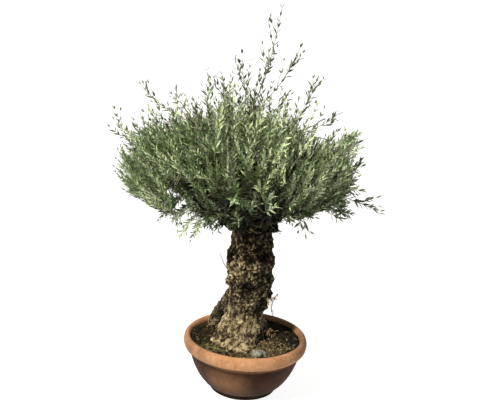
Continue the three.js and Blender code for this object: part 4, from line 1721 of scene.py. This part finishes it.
@dataclass
class Crown:
    """Twigs, shoots and leaves, grown on from the boughs by the source's rule to finer shoots."""

    shape: CrownShape
    grown: Growth
    dealing: LeafDealing = LeafDealing()
    fork: Point = (0.0, 0.0, 990.0)
    headings: int = 16
    facing: float = -0.45
    edge_gap: float = 90.0
    shortest_twig: float = 60.0
    cell_reach: float = 430.0
    shell: float = 240.0
    spacing: float = 31.5
    spray_length: Span = (95.0, 170.0)
    spray_stray: float = 0.18
    candidates: int = 16000
    side_gap: float = 30.0
    skirt_gap: float = 26.0
    # A spray joins the nearest twig, rather one behind it than one ahead
    turning_back: float = 0.8
    link_bend: float = 0.4
    link_pull: float = 0.35
    link_radius: float = 2.6
    link_steps: int = 3
    fringe_chance: float = 0.26
    fringe_depth: float = 45.0
    fringe_side: Span = (10.0, 45.0)
    fringe_top: Span = (50.0, 110.0)
    # Where the fringe stands taller: place across the crown, width and extra height
    fringe_tufts: tuple[Point, ...] = (
        (-235.0, 50.0, 150.0),
        (-85.0, 40.0, 200.0),
        (15.0, 60.0, 100.0),
        (200.0, 50.0, 90.0),
    )
    # Gaps low on the left where the sky shows along the line of sight: a point in each and its radius
    gaps: tuple = (
        ((-370.0, 0.0, 1104.0), 46.0),
        ((-424.0, 0.0, 1084.0), 44.0),
        ((-389.0, 0.0, 1019.0), 55.0),
    )
    gap_samples: int = 5
    # Leaves: where the last pair stands, how they stray in turn, opening and facing, and how sizes vary
    last_pair: float = 0.995
    turn_stray: float = 0.25
    opening_stray: float = 7.0
    opening_late: float = 1.5
    facing_light: float = 0.6
    facing_stray: float = 0.3
    tip_shrinking: float = 0.3
    leaf_lengths: Span = (0.78, 1.14)
    leaf_widths: Span = (0.85, 1.2)
    right_growth: float = 0.3
    # Long shoots: their tips, how far along they turn up, and the length and angle of their side shoots
    shoot_tips: tuple = (
        (83, 40, 2133),
        (192, -60, 1925),
        (32, 110, 1905),
        (-113, -80, 1876),
        (307, 60, 1804),
        (-285, 60, 1740),
        (-441, -130, 1672),
        (-660, 30, 1688),
        (-774, -40, 1555),
        (410, -140, 1600),
        (577, 60, 1351),
        (705, 0, 1044),
        (275, -230, 945),
        (-400, -60, 880),
        (-757, 40, 1234),
        (-120, -690, 1420),
        (-60, 690, 1440),
        (180, 520, 1700),
    )
    outwards: float = 0.72
    upwards: float = 0.4
    side_steps: tuple[int, ...] = (4, 5, 6, 7)
    side_length: Span = (70.0, 150.0)
    side_share: float = 0.65
    side_angle: Span = (25.0, 45.0)
    # Loose sprays under the crown: place, heading, how many, how far they spread and tint
    hanging: tuple = (
        ((-345.0, -150.0, 1085.0), (-0.6, -0.2, -0.45), 6, 38.0, LeafTint.DEEP),
        ((-275.0, -200.0, 1060.0), (-0.4, -0.3, -0.5), 7, 42.0, LeafTint.GREY),
        ((-235.0, -220.0, 1055.0), (-0.2, -0.4, -0.4), 4, 46.0, LeafTint.YOUNG),
        ((-180.0, -180.0, 1050.0), (0.1, -0.3, -0.5), 5, 36.0, LeafTint.DEEP),
        ((200.0, -200.0, 1110.0), (0.5, -0.2, -0.4), 5, 40.0, LeafTint.DEEP),
        ((290.0, -150.0, 1145.0), (0.9, -0.1, -0.15), 6, 28.0, LeafTint.DEEP),
        ((410.0, -110.0, 1095.0), (0.9, -0.1, -0.2), 5, 24.0, LeafTint.DEEP),
        ((350.0, -150.0, 1155.0), (0.9, -0.1, -0.05), 6, 26.0, LeafTint.DEEP),
        ((380.0, -150.0, 1215.0), (0.9, 0.0, 0.05), 6, 28.0, LeafTint.DEEP),
        ((435.0, -100.0, 1310.0), (0.8, -0.1, 0.45), 8, 36.0, LeafTint.GREY),
        ((405.0, -60.0, 1370.0), (0.8, 0.0, 0.6), 6, 36.0, LeafTint.GREY),
        ((30.0, -415.0, 1225.0), (0.1, -0.5, 0.75), 9, 30.0, LeafTint.YOUNG),
        ((-85.0, -330.0, 1095.0), (0.0, -0.4, 0.7), 3, 30.0, LeafTint.LIGHT),
        ((40.0, -330.0, 1080.0), (0.2, -0.4, 0.7), 2, 28.0, LeafTint.GREY),
        ((-50.0, -320.0, 1055.0), (-0.2, -0.4, 0.5), 2, 26.0, LeafTint.GREY),
    )
    hanging_stray: float = 0.25
    hanging_length: Span = (70.0, 120.0)
    hanging_arch: float = 40.0
    hanging_radius: float = 3.0
    hanging_steps: int = 4
    inner_sprays: int = 26
    inner_from: float = 0.3
    inner_length: Span = (70.0, 140.0)
    inner_pull: float = 0.8
    inner_stray: float = 0.8
    twig_sides: int = 5
    twig_bark: FreckledFinish = FreckledFinish("olive_twig_bark", "#6f6e52", "#4a4834")
    shoot_sides: int = 3
    shoot_bark: FreckledFinish = FreckledFinish("olive_shoot_rind", "#82825c", "#626244")

    def shoot_path(self, root: Array, heading: Array, length: float, habit: Habit, rng: Rng) -> Array:
        """Give the path of a shoot as it leans to the light and strays by its habit.

        Args:
            root: Where it starts.
            heading: The way it starts.
            length: Its length.
            habit: How it grows.
            rng: The stream of random numbers.

        Returns:
            The points of its path.
        """
        points = [root]
        way = heading
        for _ in range(habit.steps):
            stray = (rng.random(3) - 0.5) * habit.stray
            way = unit(way + habit.lift * self.shape.light_at(points[-1]) + stray)
            points.append(points[-1] + way * length / habit.steps)
        return np.array(points)

    def leaves_along(self, path: Array, habit: Habit, tint: LeafTint, rng: Rng) -> None:
        """Set leaves in opposite pairs, each pair a quarter turn round from the last, and a pair at the tip.

        Args:
            path: The shoot's path.
            habit: Its habit.
            tint: The tint of its leaves.
            rng: The stream of random numbers.
        """
        reach = np.concatenate(((0,), np.cumsum(np.linalg.norm(np.diff(path, axis=0), axis=1))))
        length = reach[-1]
        pairs = max(2, round((1 - habit.leafy_from) * length / habit.pitch))
        share = habit.leafy_from + (1 - habit.leafy_from) * (np.arange(pairs) + 0.5) / pairs
        share[-1] = self.last_pair
        roots = np.column_stack([np.interp(share * length, reach, path[:, axis]) for axis in range(3)])
        stretch = np.clip(np.searchsorted(reach, share * length) - 1, 0, len(path) - 2)
        along = unit(np.diff(path, axis=0))[stretch]
        nudge = 0.01 * UP
        first = unit(np.cross(along, across_from(along[0]) + nudge))
        second = np.cross(along, first)
        turn = rng.random() * math.pi + np.arange(pairs) * math.pi / 2 + rng.normal(0, self.turn_stray, pairs)
        across = first * np.cos(turn)[:, None] + second * np.sin(turn)[:, None]
        light = self.shape.light_at(path[-1])
        wide, narrow = habit.opening
        for side in (1, -1):
            stray = rng.normal(0, self.opening_stray, pairs)
            opened = np.radians(wide + (narrow - wide) * share**self.opening_late + stray)[:, None]
            heading = along * np.cos(opened) + side * across * np.sin(opened)
            facing = along + self.facing_light * light + rng.normal(0, self.facing_stray, (pairs, 3))
            grown = habit.leaf_length * (1 - self.tip_shrinking * share**4)
            grown *= rng.uniform(*self.leaf_lengths, pairs)
            grown *= 1 + self.right_growth * np.clip(path[-1][0] / self.shape.radius, 0, 1)
            size = np.column_stack((grown * rng.uniform(*self.leaf_widths, pairs), grown, grown))
            self.grown.add_leaves(tint, roots, unit(heading), unit(facing), size)

    def grow(self, path: Array, habit: Habit, kind: str, tint: LeafTint | None, rng: Rng) -> None:
        """Grow a leafy shoot along a path.

        Args:
            path: Its path.
            habit: Its habit.
            kind: The piece that its stem goes to.
            tint: The tint of its leaves, or None for the one that its place deals it.
            rng: The stream of random numbers.
        """
        tint = tint or self.dealing.tint_at(self.shape, self.fringe_top[0], path[-1], rng)
        self.grown.add_path(kind, path, habit.radius, habit.tip)
        self.leaves_along(path, habit, tint, rng)

    def is_open(self, points: Array) -> bool:
        """Tell if a spray would stand in a gap of the crown.

        Args:
            points: Points along the spray.

        Returns:
            True if any of them is in a gap.
        """
        eye = np.array(EYE)
        return any(
            np.linalg.norm(np.cross(points - eye, unit(np.array(place) - eye)), axis=1).min() < radius
            for place, radius in self.gaps
        )

    def spray_places(self, mass: Mass, rng: Rng) -> list[tuple]:
        """Spread sprays evenly through the outer shell of a mass's space.

        Args:
            mass: The mass.
            rng: The stream of random numbers.

        Returns:
            Root, heading and length of each spray, from the heart outwards.
        """
        shape = self.shape
        middles = mass.heart + rng.uniform(-self.cell_reach, self.cell_reach, (self.candidates, 3))
        depth = shape.depth(middles)
        inside = (depth > 0) & (depth < self.shell) & (shape.depth_in_cell(middles, mass) > 0)
        chosen, sprays = np.empty((0, 3)), []
        for middle in middles[inside]:
            if len(chosen) and np.min(((chosen - middle) ** 2).sum(1)) < self.spacing**2:
                continue
            heading = unit(shape.light_at(middle) + rng.normal(0, self.spray_stray, 3))
            length = rng.uniform(*self.spray_length)
            root, tip = middle - heading * length / 2, middle + heading * length / 2
            is_inside = shape.dense_depth(tip) > 0 and shape.depth(tip) > self.side_gap
            is_low = shape.depth(root) < self.skirt_gap
            if not is_inside or is_low or self.is_open(np.linspace(root, tip, self.gap_samples)):
                continue
            chosen = np.vstack((chosen, middle))
            sprays.append((root, heading, length))
        return sorted(sprays, key=lambda spray: float(np.linalg.norm(spray[0] - mass.heart)))

    def grow_mass(self, mass: Mass) -> None:
        """Grow one mass: twigs from its heart to the edge of its space, and the sprays that they bear.

        Args:
            mass: The mass.
        """
        rng = np.random.default_rng(mass.seed)
        outward = unit(mass.heart - np.array(self.fork))
        places, ways = [mass.heart], [outward]
        for i in range(self.headings):
            heading = even_heading(i, self.headings)
            length = self.shape.edge_distance(mass, heading) - self.edge_gap
            if heading @ outward < self.facing or length < self.shortest_twig:
                continue
            path = self.shoot_path(mass.heart, heading, length, TWIG, rng)
            self.grown.add_path("twigs", path, TWIG.radius, TWIG.tip)
            places.extend(path[1:])
            ways.extend(unit(np.diff(path, axis=0)))
        for root, heading, length in self.spray_places(mass, rng):
            away = root - np.array(places)
            apart = np.linalg.norm(away, axis=1)
            back = np.maximum(0, -(away * np.array(ways)).sum(1))
            fork = int(np.argmin(apart + self.turning_back * back))
            bend = places[fork] + ways[fork] * self.link_bend * apart[fork]
            link = bezier(places[fork], bend, root, self.link_steps)
            self.grown.add_path("twigs", link, self.link_radius, SPRAY.radius)
            places.append(root)
            ways.append(unit(root - bend))
            start = unit(heading + self.link_pull * ways[-1])
            reach = self.fringe_reach(root + heading * length, rng)
            habit = FRINGE_SHOOT if reach > self.fringe_side[1] else SPRAY
            self.grow(self.shoot_path(root, start, length + reach, habit, rng), habit, "shoots", None, rng)

    def fringe_reach(self, tip: Array, rng: Rng) -> float:
        """Tell how far a spray grows on into the open fringe round the crown's edge.

        Args:
            tip: The spray's tip.
            rng: The stream of random numbers.

        Returns:
            The distance, 0 for most sprays.
        """
        swell, extra = max(
            (math.exp(-(((tip[0] - place) / width) ** 2)), extra) for place, width, extra in self.fringe_tufts
        )
        if self.shape.dense_depth(tip) > self.fringe_depth or rng.random() > self.fringe_chance * (1 + swell):
            return 0.0
        if self.shape.top_depth(tip) > self.shape.thinning + self.fringe_depth:
            return float(rng.uniform(*self.fringe_side))
        least, most = self.fringe_top
        return float(rng.uniform(least, most + extra * swell))

    def grow_inner(self, boughs: Boughs) -> None:
        """Grow the sprays that stand on the lower boughs under the crown.

        Args:
            boughs: The boughs.
        """
        rng = np.random.default_rng(self.inner_sprays)
        for mass in self.shape.masses:
            if mass.tier is not TIERS[0]:
                continue
            limb = boughs.path(mass)
            along = unit(mass.heart - mass.seat)
            for share in rng.uniform(self.inner_from, 1, self.inner_sprays):
                root = limb[int(share * (len(limb) - 1))]
                heading = unit(self.inner_pull * along + rng.normal(0, self.inner_stray, 3))
                path = self.shoot_path(root, heading, rng.uniform(*self.inner_length), TUFT, rng)
                self.grow(path, TUFT, "shoots", None, rng)

    def grow_long_shoots(self) -> None:
        """Grow the long shoots from the hearts to their tips outside the crown, with a few side shoots."""
        rng = np.random.default_rng(len(self.shoot_tips))
        for tip in np.array(self.shoot_tips, dtype=float):
            heart = self.shape.nearest(tip).heart
            bend = heart + (tip - heart) * self.outwards
            bend[2] = heart[2] + (tip[2] - heart[2]) * self.upwards
            # The last pair of leaves reaches on to the tip
            end = tip - unit(tip - bend) * 0.5 * LONG_SHOOT.leaf_length
            path = bezier(heart, bend, end, LONG_SHOOT.steps)
            self.grow(path, LONG_SHOOT, "twigs", LeafTint.SLATE, rng)
            for step in self.side_steps:
                along = unit(path[step + 1] - path[step])
                axis = turned(across_from(along), along, rng.uniform(0, 2 * math.pi))
                aside = turned(along, axis, math.radians(rng.uniform(*self.side_angle)))
                most = self.side_share * float(np.linalg.norm(tip - path[step]))
                length = min(rng.uniform(*self.side_length), most)
                side = self.shoot_path(path[step], aside, length, SIDE_SHOOT, rng)
                self.grow(side, SIDE_SHOOT, "shoots", LeafTint.SLATE, rng)

    def grow_hanging(self) -> None:
        """Grow the loose sprays and young tufts that show under the crown."""
        rng = np.random.default_rng(len(self.hanging))
        for place, heading, count, spread, tint in self.hanging:
            for _ in range(count):
                root = np.array(place) + rng.normal(0, spread, 3)
                way = unit(np.array(heading) + rng.normal(0, self.hanging_stray, 3))
                path = self.shoot_path(root, way, rng.uniform(*self.hanging_length), TUFT, rng)
                self.grow(path, TUFT, "shoots", tint, rng)
                heart = self.shape.nearest(root).heart
                arch = bezier(heart, (root + heart) / 2 + self.hanging_arch * UP, root, self.hanging_steps)
                self.grown.add_path("twigs", arch, self.hanging_radius, TUFT.radius)

    def build(self, boughs: Boughs) -> None:
        """Grow the whole crown and make its pieces.

        Args:
            boughs: The boughs that it grows on from.
        """
        for mass in self.shape.masses:
            self.grow_mass(mass)
        self.grow_inner(boughs)
        self.grow_long_shoots()
        self.grow_hanging()
        nodes = [f"foliage_{mass.name}" for mass in self.shape.masses]
        self.grown.place_limbs("twigs", self.twig_sides, self.twig_bark, *nodes)
        self.grown.place_limbs("shoots", self.shoot_sides, self.shoot_bark, *nodes)
        self.grown.place_leaves(*nodes)


# Deadwood


@dataclass(frozen=True)
class DeadTwig:
    """A dead twig on the trunk: its root, the points that it passes from there and its dry leaves."""

    azimuth: float
    height: float
    points: tuple
    leaves: int
    radius: float = 3.4


@dataclass
class Deadwood:
    """The dead twigs on the trunk, with the dry leaves that still hang on them."""

    trunk: Trunk
    grown: Growth
    inset: float = 12.0
    steps: int = 4
    leaf_length: Span = (26.0, 40.0)
    leaf_stray: float = 0.8
    leaf_droop: float = 0.5
    sides: int = 6
    bark: FreckledFinish = FreckledFinish("dead_twig_bark", "#3f362b", "#1d1812")
    seed: int = 29
    twigs: tuple[DeadTwig, ...] = (
        DeadTwig(190.0, 694.0, ((-20.0, -4.0, 30.0), (-32.0, -8.0, 60.0), (-42.0, -10.0, 86.0)), 0),
        DeadTwig(345.0, 540.0, ((18.0, -10.0, 8.0), (38.0, -16.0, 34.0)), 5),
        DeadTwig(345.0, 536.0, ((14.0, -12.0, -10.0), (10.0, -18.0, -52.0), (24.0, -20.0, -94.0)), 2),
        DeadTwig(318.0, 548.0, ((10.0, -16.0, -4.0), (24.0, -24.0, -26.0)), 7),
        DeadTwig(330.0, 425.0, ((14.0, -18.0, -24.0), (10.0, -26.0, -66.0), (18.0, -30.0, -108.0)), 0),
        DeadTwig(2.0, 330.0, ((30.0, 0.0, 12.0), (52.0, 6.0, 8.0), (74.0, 4.0, -14.0)), 16),
        DeadTwig(340.0, 350.0, ((24.0, -12.0, 6.0), (44.0, -22.0, -10.0)), 10),
    )

    def build(self) -> None:
        """Make the twigs and their leaves."""
        rng = np.random.default_rng(self.seed)
        for twig in self.twigs:
            root = self.trunk.surface(twig.azimuth, twig.height)
            turn = math.radians(twig.azimuth)
            sunk = root - self.inset * np.array((math.cos(turn), math.sin(turn), 0.0))
            path = smooth_path(np.vstack((sunk, root, root + np.array(twig.points))), self.steps)
            self.grown.add_path("dead_twigs", path, twig.radius, twig.radius / 2)
            roots = path[rng.integers(len(path) // 2, len(path), twig.leaves)]
            heading = unit(rng.normal(0, self.leaf_stray, (twig.leaves, 3)) - self.leaf_droop * UP)
            facing = unit(rng.normal(0, 1, (twig.leaves, 3)) + UP)
            size = np.repeat(rng.uniform(*self.leaf_length, (twig.leaves, 1)), 3, axis=1)
            self.grown.add_leaves(LeafTint.DRY, roots, heading, facing, size)
        self.grown.place_limbs("dead_twigs", self.sides, self.bark)
        self.grown.place_leaves()


# Studio


@dataclass
class Studio:
    """A pale cove, soft light from the upper left and the photograph's camera."""

    pitch: float = 10.15
    roll: float = 3.59
    yaw: float = 0.42
    focal_pixels: float = 580.0
    frame_width: float = 500.0
    sensor: float = 36.0
    clip_end: float = 100.0
    floor_radius: float = 7600.0
    cove_radius: float = 1400.0
    cove_height: float = 5200.0
    cove_sides: int = 96
    cove_steps: int = 24
    paper: str = "#a6a5a3"
    paper_roughness: float = 0.9
    # The cove glows most where it is the picture's ground, so that it stays white there
    cove_lit: Span = (-1300.0, -450.0)
    glow: Span = (0.1, 0.9)
    lit_aside: Span = (0.5, 0.75)
    lit_height: Span = (3.7, 4.6)
    unlit_share: float = 0.35
    sky: str = "#eef2f8"
    sky_strength: float = 0.2
    # Place and aim in metres, width in metres, power in watts and colour
    key_place: Point = (-2.7, -3.5, 5.2)
    key_aim: Point = (0.0, 0.0, 0.9)
    key_size: float = 0.5
    key_power: float = 740.0
    key_colour: str = "#fdf7e9"

    def set_camera(self) -> None:
        """Set the camera at the photograph's viewing angle."""
        camera = bpy.data.cameras.new("photo_camera")
        camera.sensor_width = self.sensor
        camera.lens = self.focal_pixels / self.frame_width * self.sensor
        camera.clip_end = self.clip_end
        made = linked("photo_camera", camera)
        turns = ((self.yaw, "Z"), (90 - self.pitch, "X"), (self.roll, "Z"))
        turn, tilt, cant = (Matrix.Rotation(math.radians(angle), 4, axis) for angle, axis in turns)
        made.matrix_world = Matrix.Translation([value * MM for value in EYE]) @ turn @ tilt @ cant
        bpy.context.scene.camera = made

    def set_cove(self) -> None:
        """Lay the round floor that turns up into a wall all round."""
        bends = np.linspace(-math.pi / 2, 0, self.cove_steps)
        radii = self.floor_radius + self.cove_radius * np.cos(bends)
        curve = np.column_stack((radii, self.cove_radius + self.cove_radius * np.sin(bends)))
        line = np.vstack(((1.0, 0.0), curve, (curve[-1, 0], self.cove_height)))
        made = mesh_object("studio_cove", *lofted(turned_rings(line, self.cove_sides), is_closed=False))
        made.data.shade_smooth()
        material, skin, node = new_material("matt_white_paper")
        where = node("ShaderNodeTexCoord").outputs["Object"]
        spot = node("ShaderNodeSeparateXYZ", where).outputs
        glow = node("ShaderNodeMapRange", spot["Y"], *[value * MM for value in self.cove_lit], *self.glow)
        beside = node("ShaderNodeMath", spot["X"], operation="ABSOLUTE")
        ahead = node("ShaderNodeMath", spot["Y"], -EYE[1] * MM, operation="ADD")
        ahead = node("ShaderNodeMath", ahead, MM, operation="MAXIMUM")
        aside = node("ShaderNodeMath", beside, ahead, operation="DIVIDE")
        for place, span in ((aside, self.lit_aside), (spot["Z"], self.lit_height)):
            within = node("ShaderNodeMapRange", place, *span, 1.0, self.unlit_share)
            glow = node("ShaderNodeMath", glow, within, operation="MULTIPLY")
        feed(skin, {"Base Color": linear(self.paper), "Roughness": self.paper_roughness})
        feed(skin, {"Emission Strength": glow, "Emission Color": linear("#ffffff")})
        made.data.materials.append(material)

    def set_light(self) -> None:
        """Set the pale surroundings and the lamp at the upper left."""
        world = bpy.data.worlds.new("pale_surroundings")
        world.use_nodes = True
        feed(world.node_tree.nodes["Background"], {"Color": linear(self.sky), "Strength": self.sky_strength})
        bpy.context.scene.world = world
        lamp = bpy.data.lights.new("key_lamp", "AREA")
        lamp.shape = "DISK"
        lamp.size = self.key_size
        lamp.energy = self.key_power
        lamp.color = linear(self.key_colour)[:3]
        back = -unit(np.array(self.key_aim) - np.array(self.key_place))
        side = unit(np.cross(UP, back))
        turn = Matrix(np.column_stack((side, np.cross(back, side), back)).tolist()).to_4x4()
        linked("key_lamp", lamp).matrix_world = Matrix.Translation(self.key_place) @ turn
        bpy.context.scene.view_settings.view_transform = "Standard"

    def build(self) -> None:
        """Set up the studio."""
        self.set_camera()
        self.set_cove()
        self.set_light()


def main() -> None:
    """Load the frame and build the bonsai on it."""
    logging.basicConfig(level=logging.INFO, format="%(message)s")
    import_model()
    Studio().build()
    bowl = Bowl()
    bowl.build()
    shape = CrownShape()
    boughs = Boughs(shape)
    trunk = Trunk()
    trunk.build(boughs)
    boughs.build()
    leaf = LeafBlade().build()
    makers = (leaf, limb_tree(), leaf_tree())
    soil = Soil()
    bed = soil.build(bowl)
    soil.strew(bed, leaf)
    soil.lay_stone()
    Deadwood(trunk, Growth(*makers)).build()
    Crown(shape, Growth(*makers)).build(boughs)
    bpy.data.objects.remove(leaf)


if __name__ == "__main__":
    main()
